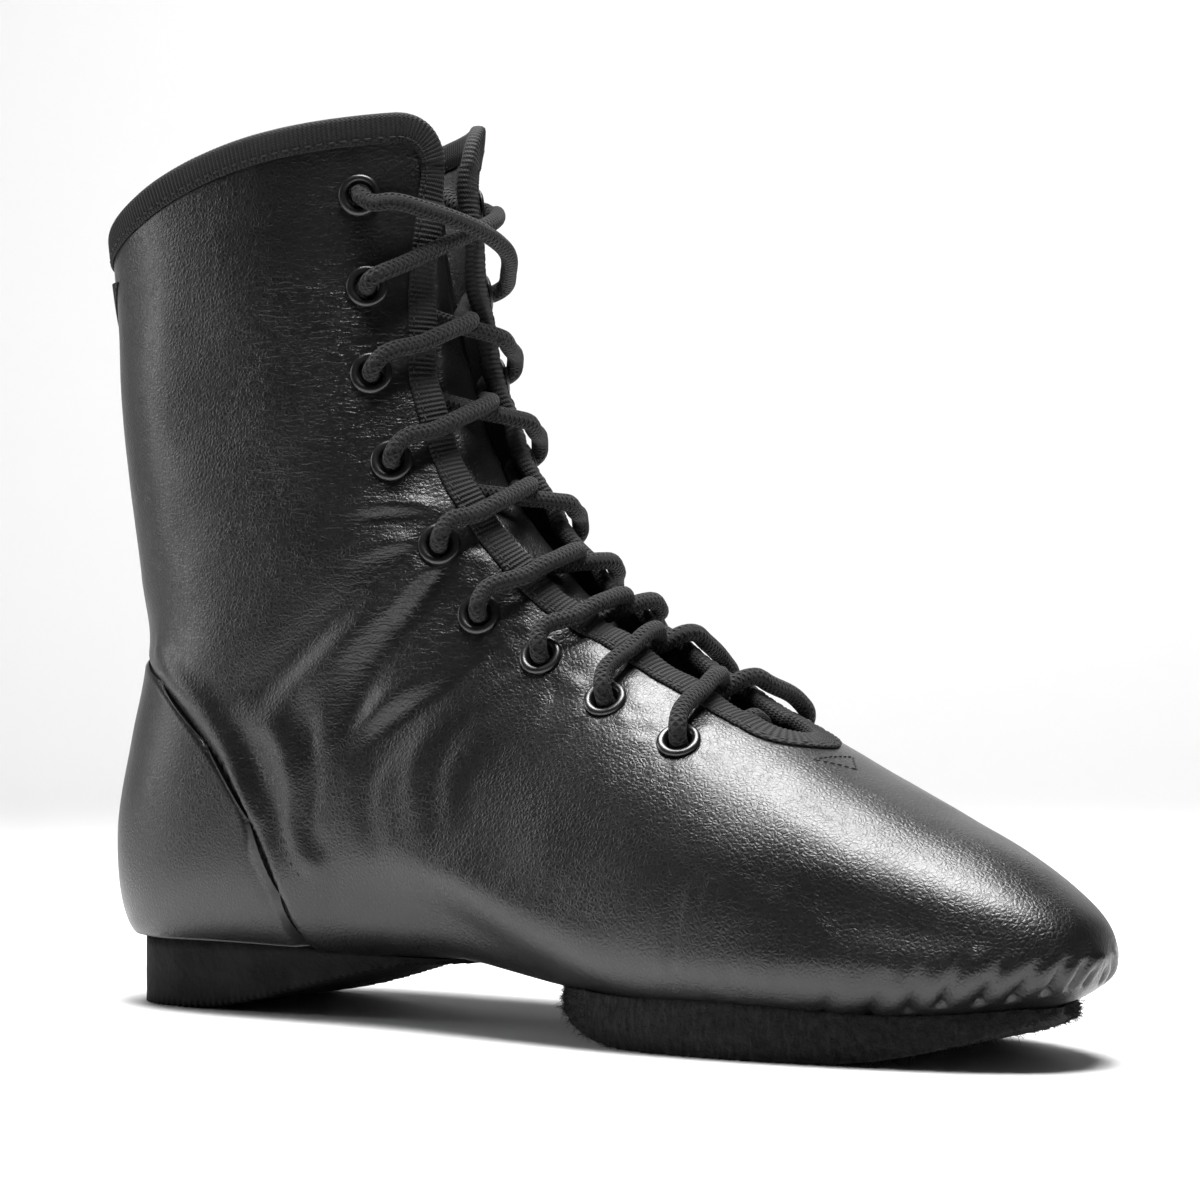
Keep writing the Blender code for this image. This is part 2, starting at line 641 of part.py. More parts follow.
def back_shell(name, span, low, high, columns, finish):
    """A curved strip of the upper's own grid around the back, between two distances outside it."""
    start, end = nearest_row(span[0]), nearest_row(span[1]) + 1
    rows, turns = ROWS[start:end], TURNS[start:end, MIDDLE - columns:MIDDLE + columns + 1]
    kept = np.ones((len(rows) - 1, 2 * columns), bool)
    return thick_sheet(name, sheet_at(rows, turns, high), sheet_at(rows, turns, low), kept,
                       np.arange(turns.size), finish)


def prism(name, outline, axis, start, end):
    """An outline pushed straight along an axis, as a hidden helper. axis 0 is X and 1 is Y."""
    count = len(outline)
    points = []
    for place in (start, end):
        for across, up in outline:
            points.append((place, across, up) if axis == 0 else (across, place, up))
    sides = [[i, (i + 1) % count, count + (i + 1) % count, count + i] for i in range(count)]
    return add_cutter(name, points, sides + [list(range(count))[::-1], list(range(count, 2 * count))])


def make_counter():
    """The heel counter: the back of the heel from sole to ankle, cut along a slanting seam."""
    high = SEAT + COUNTER_THICK
    shell = back_shell("heel_counter", COUNTER_SPAN, SEAT, high, COUNTER_STEPS, LEATHER_SMOOTH)
    base = HEEL_THICK
    outline = [(x * LENGTH - CENTRE_X, base + z * INSTEP_HEIGHT) for x, z in SEAM_ROWS]
    combine(shell, prism("counter_outline", outline, 1, -HEEL_WIDTH, HEEL_WIDTH), "INTERSECT")
    return shell


def make_gore():
    """The stretch panel up the middle of the back, wider toward the collar."""
    shell = back_shell("back_gore", GORE_SPAN, SEAT, SEAT + GORE_THICK, GORE_STEPS, ELASTIC)
    base = HEEL_THICK + INSTEP_HEIGHT
    right = [(half * GORE_WIDTH, base + z * SHAFT_HEIGHT) for z, half in GORE_ROWS]
    left = [(-y, z) for y, z in reversed(right)]
    front = LENGTH * GORE_REACH - CENTRE_X
    combine(shell, prism("gore_outline", right + left, 0, -LENGTH, front), "INTERSECT")
    return shell


def eyelet_places():
    """Centre, outward direction, row and turn of each eyelet, near and far, top first."""
    out = {-1: [], 1: []}
    for side in (-1, 1):
        for row, back in EYELET_ROWS:
            turn = throat_edge(row, side)[0] + turn_at(row, side, back * EYELET_BACK)
            out[side].append((skin(row, [turn])[0, 0], normals(row, [turn])[0, 0], row, turn))
    return out


def frame_around(direction):
    """Two unit directions square to a direction."""
    first = np.cross(direction, [0.0, 1.0, 0.0])
    first /= np.linalg.norm(first)
    return first, np.cross(direction, first)


def turned(centre, direction, profile, sides):
    """Rings of points made by turning a profile of radius and height about a direction."""
    first, second = frame_around(direction)
    angles = np.linspace(0, 2 * np.pi, sides, endpoint=False)
    circle = np.cos(angles)[:, None] * first + np.sin(angles)[:, None] * second
    return np.array([centre + direction * height + radius * circle for radius, height in profile])


def make_eyelet(name, centre, direction):
    """A flanged metal ring with a short barrel through the leather."""
    barrel = EYELET_HOLE + EYELET_BARREL
    profile = [
        (EYELET_HOLE, -WALL - SEAT), (EYELET_HOLE, SEAT + EYELET_RISE),
        (EYELET_RADIUS, SEAT + EYELET_RISE / 3), (barrel, SEAT), (barrel, -WALL - SEAT),
    ]
    rings = turned(centre, direction, profile, EYELET_SIDES)
    count, sides = rings.shape[:2]
    faces = []
    for k in range(count):
        for j in range(sides):
            following = (j + 1) % sides
            faces.append([k * sides + j, k * sides + following,
                          (k + 1) % count * sides + following, (k + 1) % count * sides + j])
    return add_object(name, rings.reshape(-1, 3), faces, ENAMEL)


def make_holes(places):
    """Round cutters for the eyelets' holes."""
    radius = EYELET_HOLE + EYELET_BARREL + SEAT
    points, faces = [], []
    for centre, direction, _, _ in places:
        rings = turned(centre, direction, [(radius, -3 * WALL), (radius, 2 * WALL)], EYELET_SIDES)
        start, sides = len(points), rings.shape[1]
        points += rings.reshape(-1, 3).tolist()
        faces += [[start + j, start + (j + 1) % sides, start + sides + (j + 1) % sides, start + sides + j]
                  for j in range(sides)]
        faces.append([start + j for j in reversed(range(sides))])
        faces.append([start + sides + j for j in range(sides)])
    return add_cutter("eyelet_holes", points, faces)


def tube(path, radius, sides):
    """Points and faces of a capped tube along a path."""
    path = np.asarray(path, float)
    ahead = np.gradient(path, axis=0)
    ahead /= np.linalg.norm(ahead, axis=1, keepdims=True)
    angles = np.linspace(0, 2 * np.pi, sides, endpoint=False)
    rings = []
    for place, direction in zip(path, ahead):
        first = np.cross(direction, [0.0, 0.0, 1.0])
        first /= np.linalg.norm(first)
        second = np.cross(direction, first)
        circle = np.cos(angles)[:, None] * first + np.sin(angles)[:, None] * second
        rings.append(place + radius * circle)
    count = len(path)
    faces = []
    for k in range(count - 1):
        for j in range(sides):
            following = (j + 1) % sides
            faces.append([k * sides + j, k * sides + following,
                          (k + 1) * sides + following, (k + 1) * sides + j])
    faces.append([j for j in reversed(range(sides))])
    faces.append([(count - 1) * sides + j for j in range(sides)])
    return np.concatenate(rings), faces


def strand(start, end, tucked):
    """A strand laid over the facing from one eyelet toward another.

    start, end: row and turn of the two eyelets. tucked: whether it dips and stops in the
    throat, short of the far edge, or runs on to the other eyelet.
    """
    high = SEAT + TAPE_THICK + LACE_LIFT + LACE_RADIUS
    side = -1 if start[1] < 0 else 1
    share = np.linspace(0, 1, 101)
    rows = start[0] + (end[0] - start[0]) * share
    turns = start[1] + (end[1] - start[1]) * share
    at = skin(rows, turns[:, None])[:, 0]
    keep = np.linalg.norm(at - at[0], axis=1) > EYELET_RADIUS + SEAT + LACE_RADIUS / 2
    if tucked:
        room = (np.abs(throat_edge(rows, -side)) + side * turns) * half_lengths(rows, -side)
        keep &= room > 2 * SEAT + TAPE_THICK + LACE_RADIUS
    else:
        keep &= np.linalg.norm(at - at[-1], axis=1) > EYELET_RADIUS + SEAT + LACE_RADIUS / 2
    kept = share[keep]
    share = np.linspace(kept[0], kept[-1], STRAND_STEPS)
    rows = start[0] + (end[0] - start[0]) * share
    turns = start[1] + (end[1] - start[1]) * share
    dip = np.linspace(0, 1, len(share))**3 * LACE_RADIUS if tucked else 0 * share
    outward = normals(rows, turns[:, None])[:, 0]
    return skin(rows, turns[:, None])[:, 0] + outward * (high - dip)[:, None]


LEATHER = material("black_leather", (0.012, 0.012, 0.013), 0.42)
LEATHER_SMOOTH = material("counter_leather", (0.014, 0.014, 0.015), 0.40)
LINING = material("lining_leather", (0.020, 0.020, 0.021), 0.60)
TAPE = material("woven_tape", (0.010, 0.010, 0.011), 0.85)
ELASTIC = material("stretch_fabric", (0.008, 0.008, 0.009), 0.90)
RUBBER = material("pad_rubber", (0.010, 0.010, 0.010), 0.80)
SUEDE = material("sole_suede", (0.018, 0.018, 0.018), 0.95)
ENAMEL = material("black_enamel", (0.015, 0.015, 0.016), 0.25, 0.6)
CORD = material("lace_cord", (0.012, 0.012, 0.013), 0.90)

SEAT_FORM = underside()
EYELETS = eyelet_places()
PAIRS = len(EYELET_ROWS)

upper = make_upper()
combine(upper, make_holes(EYELETS[-1] + EYELETS[1]), "DIFFERENCE")
make_heel_pad()
make_forefoot_patch()
make_tongue()
make_insole()
make_counter()
make_gore()
make_binding()
for side, word in ((-1, "near"), (1, "far")):
    for number, (centre, direction, _, _) in enumerate(EYELETS[side], 1):
        make_eyelet(f"eyelet_{word}_{number}", centre, direction)


def make_crossing(number):
    """Two strands that cross over the throat between one pair of eyelets and the next, joined."""
    bars = []
    for side in (-1, 1):
        low, high = EYELETS[side][number], EYELETS[-side][number - 1]
        bars.append(tube(strand(low[2:], high[2:], number > 1), LACE_RADIUS, LACE_SIDES))
    first = add_object(f"lace_crossing_{number}", *bars[0], CORD)
    combine(first, add_cutter(f"lace_strand_{number}", *bars[1]), "UNION")


def make_bar():
    """The straight strand between the lowest pair of eyelets, where the throat shows it."""
    row = EYELET_ROWS[-1][0]
    margin = 2 * SEAT + TAPE_THICK
    turns = [throat_edge(row, side)[0] - turn_at(row, side, margin) for side in (-1, 1)]
    turns = np.linspace(turns[0], turns[1], 3)
    path = sheet_at([row], turns, -WALL / 2)[0]
    add_object("lace_bar", *tube(path, LACE_RADIUS, LACE_SIDES), CORD)


for number in range(1, PAIRS):
    make_crossing(number)
make_bar()
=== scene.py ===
# %% [markdown]
# A soft black leather dance boot, left foot, with a split sole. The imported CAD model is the
# frame: this lesson dresses it with fine surfaces and finishes. Everything is in metres, with the
# heel at -X, the toe at +X, the outer side of the foot at +Y and the floor at z = 0.

import bpy
import numpy as np
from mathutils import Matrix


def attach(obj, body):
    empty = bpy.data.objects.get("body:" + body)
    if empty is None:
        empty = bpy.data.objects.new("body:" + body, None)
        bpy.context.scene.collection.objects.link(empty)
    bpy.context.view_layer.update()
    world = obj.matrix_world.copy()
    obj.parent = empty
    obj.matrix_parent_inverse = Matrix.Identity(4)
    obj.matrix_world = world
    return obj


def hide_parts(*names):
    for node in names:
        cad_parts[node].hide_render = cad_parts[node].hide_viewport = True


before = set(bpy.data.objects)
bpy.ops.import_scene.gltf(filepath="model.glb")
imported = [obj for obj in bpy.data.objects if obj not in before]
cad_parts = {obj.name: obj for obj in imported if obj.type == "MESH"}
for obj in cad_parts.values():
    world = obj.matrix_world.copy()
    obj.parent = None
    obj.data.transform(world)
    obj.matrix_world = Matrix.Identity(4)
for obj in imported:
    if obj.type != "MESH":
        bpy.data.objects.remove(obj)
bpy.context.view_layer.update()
print("nodes in the frame:", len(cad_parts))

# %% [markdown]
# The boot's sizes and the tables of its sections are the same as those of the CAD source. The
# last is the form that a shoemaker stretches leather over, and a short table of sections
# describes it well: each row is one cut, from a point on the front line to a point on the back
# line.

# %% Sizes in metres
MM = 0.001
LENGTH = 0.240
BALL_WIDTH = 0.080
HEEL_WIDTH = 0.056
SHAFT_WIDTH = 0.058
INSTEP_HEIGHT = 0.096
SHAFT_HEIGHT = 0.086
HEEL_THICK = 0.0105
SOLE_THICK = 0.0050
WALL = 0.0016
SEAT = 0.0003
COLLAR_ARCH = 0.0050
COLLAR_CORNER = 0.0150
THROAT_GAP = 0.0230
TAPE_THICK = 0.0006
EYELET_BACK = 0.0155
PAD_LENGTH = 0.088
PAD_WIDTH = 0.047
PAD_BACK = 0.0040
PAD_RISE = 0.0020
PATCH_WIDTH = 0.067
GORE_WIDTH = 0.040
THROAT_END = 13.9
CORNER_ROWS = 0.8
END_ROWS = 0.5
ARCH_ROWS = 2.4

# %% Tables of the last
# Shaft: front_x, front_z, back_x, back_z, near, far, widest, front_round, back_round
SHAFT_ROWS = [
    (0.350, 0.994, -0.0350, 0.703, 0.500, 0.500, 0.50, 2.1, 2.3),
    (0.348, 0.762, -0.0250, 0.506, 0.500, 0.500, 0.50, 2.1, 2.3),
    (0.356, 0.517, -0.0175, 0.297, 0.510, 0.510, 0.50, 2.2, 2.3),
    (0.375, 0.308, -0.0075, 0.064, 0.520, 0.520, 0.50, 2.3, 2.3),
    (0.404, 0.128, 0.0080, -0.169, 0.535, 0.535, 0.50, 2.3, 2.3),
]
# Foot: heel, top_x, top_z, low_x, low_z, near, far, sway, widest, top_round, low_round
FOOT_ROWS = [
    (1.0, 0.4375, 0.995, 0.0210, 0.661, 0.571, 0.571, 0.000, 0.52, 2.3, 2.3),
    (1.0, 0.4690, 0.911, 0.0060, 0.464, 0.580, 0.580, 0.000, 0.54, 2.2, 2.4),
    (1.0, 0.4940, 0.854, -0.0060, 0.255, 0.589, 0.598, 0.000, 0.56, 2.2, 2.6),
    (1.0, 0.5170, 0.810, 0.0100, 0.073, 0.598, 0.607, 0.000, 0.58, 2.2, 2.9),
    (1.0, 0.5330, 0.786, 0.0420, 0.012, 0.598, 0.616, 0.000, 0.59, 2.2, 3.0),
    (1.0, 0.5500, 0.758, 0.1170, 0.003, 0.598, 0.634, 0.000, 0.60, 2.2, 2.8),
    (1.0, 0.5810, 0.706, 0.2580, 0.008, 0.600, 0.665, -0.002, 0.62, 2.2, 2.6),
    (0.8, 0.6210, 0.657, 0.3920, 0.032, 0.578, 0.655, -0.006, 0.64, 2.2, 2.5),
    (0.4, 0.6710, 0.618, 0.5080, 0.019, 0.525, 0.590, -0.014, 0.66, 2.2, 2.5),
    (0.0, 0.7250, 0.578, 0.6080, 0.006, 0.476, 0.524, -0.022, 0.68, 2.1, 2.6),
    (0.0, 0.7790, 0.516, 0.7000, 0.003, 0.450, 0.512, -0.030, 0.70, 2.1, 2.6),
    (0.0, 0.8400, 0.448, 0.7900, 0.003, 0.398, 0.470, -0.040, 0.71, 2.1, 2.5),
    (0.0, 0.8990, 0.380, 0.8730, 0.016, 0.328, 0.395, -0.052, 0.70, 2.1, 2.4),
    (0.0, 0.9500, 0.313, 0.9410, 0.047, 0.250, 0.290, -0.065, 0.62, 2.0, 2.2),
    (0.0, 0.9870, 0.245, 0.9870, 0.094, 0.147, 0.162, -0.077, 0.55, 2.0, 2.0),
    (0.0, 1.0030, 0.167, 1.0030, 0.167, 0.000, 0.000, -0.083, 0.50, 2.0, 2.0),
]
# Throat: row, near, far half width
THROAT = np.array([(0.0, 0.11, 0.11), (1.3, 0.33, 0.20), (2.8, 0.57, 0.35), (4.3, 0.61, 0.39),
                   (7.0, 0.50, 0.35), (10.0, 0.40, 0.32), (13.0, 0.31, 0.27), (20.0, 0.30, 0.27)])
# Eyelets: row, back
EYELET_ROWS = [(0.78, 1.22), (1.70, 0.96), (2.65, 0.88), (3.75, 0.90), (5.20, 0.88),
               (7.00, 1.08), (9.60, 1.02), (11.45, 1.04), (12.90, 1.10)]
# Forefoot patch: x, near, far, middle
PATCH_ROWS = np.array([
    (0.490, 0.00, 0.00, 0.00), (0.500, 0.17, 0.17, 0.00), (0.525, 0.30, 0.31, 0.00),
    (0.575, 0.42, 0.44, -0.01), (0.640, 0.48, 0.52, -0.02), (0.715, 0.48, 0.53, -0.03),
    (0.790, 0.43, 0.50, -0.04), (0.853, 0.36, 0.43, -0.05), (0.911, 0.26, 0.31, -0.07),
    (0.949, 0.16, 0.19, -0.08), (0.965, 0.00, 0.00, -0.09)])
# Counter seam: x, z
SEAM_ROWS = np.array([(0.020, 0.700), (0.095, 0.630), (0.165, 0.500), (0.220, 0.330),
                      (0.250, 0.170), (0.257, 0.058)])
# Gore: z, half
GORE_ROWS = np.array([(-0.300, 0.21), (0.050, 0.24), (0.350, 0.28), (0.500, 0.33),
                      (0.570, 0.42), (0.618, 0.50)])
# Insole: row, half
INSOLE_ROWS = np.array([(9.4, 0.16), (10.0, 0.22), (11.0, 0.25), (13.0, 0.27), (15.0, 0.37),
                        (17.0, 0.33), (18.5, 0.17)])


def section_table():
    """Both tables as one, in metres: shares times the sizes they are shares of."""
    out = []
    for fx, fz, bx, bz, near, far, widest, a, b in SHAFT_ROWS:
        base = HEEL_THICK + SEAT + INSTEP_HEIGHT
        out.append((fx * LENGTH, base + fz * SHAFT_HEIGHT, bx * LENGTH, base + bz * SHAFT_HEIGHT,
                    near * SHAFT_WIDTH, far * SHAFT_WIDTH, 0.0, widest, a, b))
    for heel, tx, tz, lx, lz, near, far, sway, widest, a, b in FOOT_ROWS:
        base = heel * HEEL_THICK + (1 - heel) * SOLE_THICK + SEAT
        width = heel * HEEL_WIDTH + (1 - heel) * BALL_WIDTH
        out.append((tx * LENGTH, base + tz * INSTEP_HEIGHT, lx * LENGTH, base + lz * INSTEP_HEIGHT,
                    near * width, far * width, sway * BALL_WIDTH, widest, a, b))
    return np.array(out)


SECTIONS = section_table()
LAST_ROW = len(SECTIONS) - 1
CENTRE_X = (SECTIONS[:, 0].max() + SECTIONS[:, 2].min() - SEAT - TAPE_THICK) / 2
CHORD = (1 - np.cos(np.linspace(0, np.pi, 240))) / 2
print("sections:", len(SECTIONS), "centre:", round(CENTRE_X, 5))

# %% [markdown]
# One function turns a section number (row) and a place round the section (turn) into a point of
# the leather. It is sampled once on a dense grid, and every piece then reads that grid, so that
# tape, eyelets, lace and leather all agree to a fraction of a millimetre.

# %% The surface of the last
def blend(table, place):
    """Rows joined by cubics whose slopes are the differences of the rows beside them."""
    last = len(table) - 1
    slopes = np.gradient(table, axis=0)
    place = np.clip(np.asarray(place, float), 0, last)
    low = np.minimum(place.astype(int), last - 1)
    t = (place - low)[..., None]
    return ((2 * t**3 - 3 * t**2 + 1) * table[low] + (t**3 - 2 * t**2 + t) * slopes[low]
            + (-2 * t**3 + 3 * t**2) * table[low + 1] + (t**3 - t**2) * slopes[low + 1])


def run_length(points):
    """Length along a path up to each of its points."""
    return np.concatenate([[0.0], np.cumsum(np.linalg.norm(np.diff(points, axis=0), axis=1))])


def half_section(row, side):
    """Half of a section: chord from front to back, bulging sideways as a superellipse."""
    top_x, top_z, low_x, low_z, near, far, sway, widest, top_round, low_round = row
    width = near if side < 0 else far
    above = np.clip((widest - CHORD) / widest, 0, 1)
    below = np.clip((CHORD - widest) / (1 - widest), 0, 1)
    reach = np.where(CHORD < widest, (1 - above**top_round) ** (1 / top_round),
                     (1 - below**low_round) ** (1 / low_round))
    points = np.stack([top_x + (low_x - top_x) * CHORD - CENTRE_X, sway + side * width * reach,
                       top_z + (low_z - top_z) * CHORD], -1)
    return points, run_length(points)


def skin(rows, turns):
    """Points at equal shares of arc length round each section, lifted at the collar's sides."""
    out = np.zeros((len(rows), len(turns), 3))
    lengths = np.zeros((len(rows), 2))
    for index, values in enumerate(blend(SECTIONS, rows)):
        for k, side in enumerate((-1, 1)):
            pick = turns < 0 if side < 0 else turns >= 0
            points, along = half_section(values, side)
            lengths[index, k] = along[-1]
            for axis in range(3):
                wanted = np.abs(turns[pick]) * along[-1]
                out[index, pick, axis] = np.interp(wanted, along, points[:, axis])
        fade = np.clip(1 - rows[index] / ARCH_ROWS, 0, 1) ** 2
        out[index, :, 2] += COLLAR_ARCH * fade * np.sin(np.pi * np.abs(turns)) ** 2
    return out, lengths


GRID_ROWS = np.linspace(0, LAST_ROW, 501)
GRID_TURNS = np.linspace(-1, 1, 801)
GRID, GRID_LENGTHS = skin(GRID_ROWS, GRID_TURNS)
by_row = np.gradient(GRID, GRID_ROWS, axis=0)
wrapped = np.concatenate([GRID[:, -2:-1], GRID, GRID[:, 1:2]], 1)
by_turn = (wrapped[:, 2:] - wrapped[:, :-2]) / (2 * (GRID_TURNS[1] - GRID_TURNS[0]))
cross = np.cross(by_row, by_turn)
size = np.linalg.norm(cross, axis=-1, keepdims=True)
GRID_NORMALS = np.where(size > 1e-9, cross / np.maximum(size, 1e-9), [1.0, 0.0, 0.0])
GRID_NORMALS[-1] = [1.0, 0.0, 0.0]
GRID_ALL = np.concatenate([GRID, GRID_NORMALS, by_row, by_turn], -1)


def look_up(rows, turns):
    """Point, outward direction and the two slopes, read off the dense grid between its lines."""
    turns = (np.asarray(turns, float) + 1) % 2 - 1
    rows, turns = np.broadcast_arrays(np.asarray(rows, float), turns)
    r = np.clip(rows / LAST_ROW * (len(GRID_ROWS) - 1), 0, len(GRID_ROWS) - 1.0001)
    t = np.clip((turns + 1) / 2 * (len(GRID_TURNS) - 1), 0, len(GRID_TURNS) - 1.0001)
    i, j = r.astype(int), t.astype(int)
    a, b = (r - i)[..., None], (t - j)[..., None]
    values = ((1 - a) * (1 - b) * GRID_ALL[i, j] + a * (1 - b) * GRID_ALL[i + 1, j]
              + (1 - a) * b * GRID_ALL[i, j + 1] + a * b * GRID_ALL[i + 1, j + 1])
    normal = values[..., 3:6]
    normal = normal / np.maximum(np.linalg.norm(normal, axis=-1, keepdims=True), 1e-9)
    return values[..., :3], normal, values[..., 6:9], values[..., 9:12]


def half_length(rows, side):
    """Length round half a section."""
    return np.interp(rows, GRID_ROWS, GRID_LENGTHS[:, 0 if side < 0 else 1])


def throat_edge(rows, side):
    """Turn of the throat's edge: the tabled half width, rounded at its end and at the collar."""
    half = THROAT_GAP * np.interp(rows, THROAT[:, 0], THROAT[:, 1 if side < 0 else 2])
    near_end = np.clip((rows - THROAT_END + END_ROWS) / END_ROWS, 0, 1)
    near_top = np.clip(1 - rows / CORNER_ROWS, 0, 1)
    half = half * np.sqrt(1 - near_end**2) + COLLAR_CORNER * (1 - np.sqrt(1 - near_top**2))
    return side * half / np.maximum(half_length(rows, side), 1e-6)


def eyelet_spots(side):
    """Row and turn of each eyelet on one side: a tabled distance behind the throat's edge."""
    rows = np.array([row for row, _ in EYELET_ROWS])
    back = np.array([back for _, back in EYELET_ROWS])
    return rows, throat_edge(rows, side) + side * back * EYELET_BACK / half_length(rows, side)


EYELETS = len(EYELET_ROWS)
SPOTS = {side: eyelet_spots(side) for side in (-1, 1)}
EYE_POINTS = {side: look_up(*SPOTS[side])[:2] for side in (-1, 1)}
print("length round the ball, mm:", round(1000 * (half_length(15, -1) + half_length(15, 1)), 1))

# %% [markdown]
# Soft leather is never a clean surface. Folds at the ankle, the hollow under the arch and the
# pleats where the toe is gathered under the patch were all placed as short paths in rows and
# turns. Each is a soft ridge or trough: its height falls off with the distance from its path, and
# fades toward its ends. Puckers round the eyelets are rays, added below.

# %% Creases, listed
# height and width in millimetres, then the path as (row, turn); near is negative
CREASES = [
    ("fold behind the ankle, ridge", 1.5, 2.6,
     [(5.08, -.765), (6.05, -.640), (6.85, -.580), (7.58, -.560), (8.6, -.560)]),
    ("fold behind the ankle, trough", -1.5, 2.4,
     [(5.6, -.745), (6.5, -.655), (7.4, -.610), (8.5, -.600)]),
    ("second fold, ridge", 1.3, 3.0,
     [(6.70, -.530), (7.23, -.488), (7.93, -.480), (9.05, -.510), (10.4, -.625)]),
    ("second fold, trough", -1.0, 3.4,
     [(7.1, -.440), (7.9, -.440), (8.9, -.475), (10.2, -.585)]),
    ("between the two folds", -0.7, 3.0,
     [(7.0, -.545), (7.9, -.528), (9.0, -.545), (10.0, -.600)]),
    ("third ridge", 0.7, 3.0, [(7.03, -.378), (7.78, -.420), (9.0, -.467)]),
    ("ankle, broad ridge", 1.3, 5.5,
     [(5.93, -.272), (6.30, -.342), (6.55, -.398), (6.98, -.465)]),
    ("ankle, broad trough", -1.5, 4.5,
     [(6.15, -.215), (6.73, -.305), (7.25, -.348), (7.8, -.375)]),
    ("ankle, upper trough", -0.9, 4.5,
     [(5.4, -.290), (5.85, -.370), (6.2, -.450), (6.5, -.520)]),
    ("instep ridge", 0.9, 3.0, [(7.9, -.250), (7.93, -.320), (8.3, -.370)]),
    ("instep trough", -0.8, 3.0, [(8.7, -.265), (8.7, -.340), (9.0, -.400)]),
    ("waist ridge", 0.8, 3.6, [(9.75, -.293), (10.15, -.368), (10.6, -.442), (11.03, -.510)]),
    ("waist trough", -0.6, 3.2, [(9.2, -.330), (9.7, -.410), (10.2, -.480), (10.7, -.550)]),
    ("waist, second ridge", 0.6, 3.2, [(10.5, -.300), (10.75, -.388), (11.25, -.477)]),
    ("edge over the arch", 0.9, 5.0,
     [(11.0, -.560), (11.95, -.600), (12.6, -.610), (13.4, -.620)]),
    ("hollow of the arch", -2.2, 7.5,
     [(10.9, -.680), (11.6, -.690), (12.3, -.710), (12.9, -.72)]),
    ("above the fifth eyelet", 0.8, 1.8, [(4.25, -.303), (4.38, -.233), (4.60, -.175)]),
    ("by the fifth eyelet", -0.7, 1.8, [(4.45, -.310), (4.55, -.245), (4.70, -.200)]),
    ("under the fifth eyelet", 0.7, 1.8, [(4.95, -.330), (4.95, -.270), (5.0, -.225)]),
    ("fifth to sixth, trough", -0.9, 2.0, [(6.5, -.275), (5.98, -.230), (5.65, -.187)]),
    ("fifth to sixth, ridge", 0.8, 2.0, [(6.15, -.290), (5.75, -.245), (5.5, -.210)]),
    ("sixth to seventh, trough", -0.6, 2.2, [(8.6, -.240), (8.2, -.190), (8.0, -.150)]),
    ("seventh to eighth, trough", -0.5, 2.2, [(10.9, -.230), (10.6, -.185), (10.5, -.140)]),
    ("far ankle, ridge", 1.3, 4.5, [(5.8, .300), (6.4, .400), (7.0, .480), (7.9, .540)]),
    ("far ankle, trough", -1.3, 4.0, [(6.1, .240), (6.9, .340), (7.6, .420), (8.6, .500)]),
    ("far heel, ridge", 1.2, 3.0, [(5.3, .740), (6.3, .640), (7.2, .590), (8.4, .580)]),
    ("far heel, trough", -1.1, 2.8, [(5.8, .710), (6.7, .650), (7.6, .620), (8.6, .615)]),
    ("far waist, ridge", 0.8, 4.0, [(9.3, .300), (9.9, .380), (10.5, .470), (11.2, .540)]),
    ("far instep, trough", -0.8, 3.4, [(8.4, .250), (8.8, .340), (9.4, .420)]),
    ("far fifth eyelet", 0.6, 2.0, [(4.3, .300), (4.5, .230), (4.8, .180)]),
    ("flex a", 0.22, 1.0, [(14.2, -.500), (14.35, -.560), (14.55, -.650)]),
    ("flex b", 0.26, 0.9, [(14.45, -.460), (14.6, -.550), (14.75, -.645)]),
    ("flex c", 0.28, 0.9, [(14.6, -.430), (14.75, -.530), (14.95, -.640)]),
    ("flex d", 0.26, 0.9, [(14.75, -.420), (14.9, -.510), (15.08, -.615)]),
    ("flex e", 0.24, 1.0, [(15.3, -.480), (15.38, -.560), (15.45, -.640)]),
    ("flex f", 0.28, 1.0, [(15.35, -.420), (15.45, -.510), (15.62, -.620)]),
    ("flex g", -0.35, 1.4, [(15.0, -.440), (15.1, -.540), (15.25, -.640)]),
    ("flex h", -0.30, 1.3, [(15.55, -.430), (15.65, -.520), (15.8, -.630)]),
    ("flex i", -0.30, 1.4, [(14.3, -.450), (14.45, -.550), (14.65, -.650)]),
    ("far flex a", 0.28, 1.1, [(14.3, .430), (14.5, .530), (14.7, .630)]),
    ("far flex b", -0.32, 1.3, [(14.7, .420), (14.9, .520), (15.05, .620)]),
    ("far flex c", 0.28, 1.1, [(15.2, .430), (15.35, .530), (15.5, .620)]),
    ("toe wall, dark band", -0.9, 5.0,
     [(15.2, -.400), (16.2, -.420), (17.2, -.430), (18.2, -.430), (19.0, -.40)]),
    ("toe wall, swell", 0.7, 4.5, [(14.6, -.600), (15.8, -.560), (16.8, -.530), (17.8, -.530)]),
]
# toe pleats: row at the top, turn at the top, row at the patch, turn at the patch, depth in mm
PLEATS = [
    (16.25, .575, 16.10, .670, 0.7), (16.78, .560, 16.55, .680, 1.0),
    (17.15, .530, 16.98, .670, 1.2), (17.60, .500, 17.36, .650, 1.4),
    (18.15, .495, 17.78, .670, 1.5), (18.68, .510, 18.18, .690, 1.4),
    (19.22, .500, 18.66, .715, 1.3), (19.60, .560, 19.10, .740, 1.0),
    (19.70, .780, 19.30, .860, 0.9),
]
print("creases:", len(CREASES), "pleats a side:", len(PLEATS))


def path_points(path, count=24):
    """A smooth path through (row, turn) marks, as points on the last."""
    marks = blend(np.array(path), np.linspace(0, len(path) - 1, count))
    return look_up(marks[:, 0], marks[:, 1])[0]


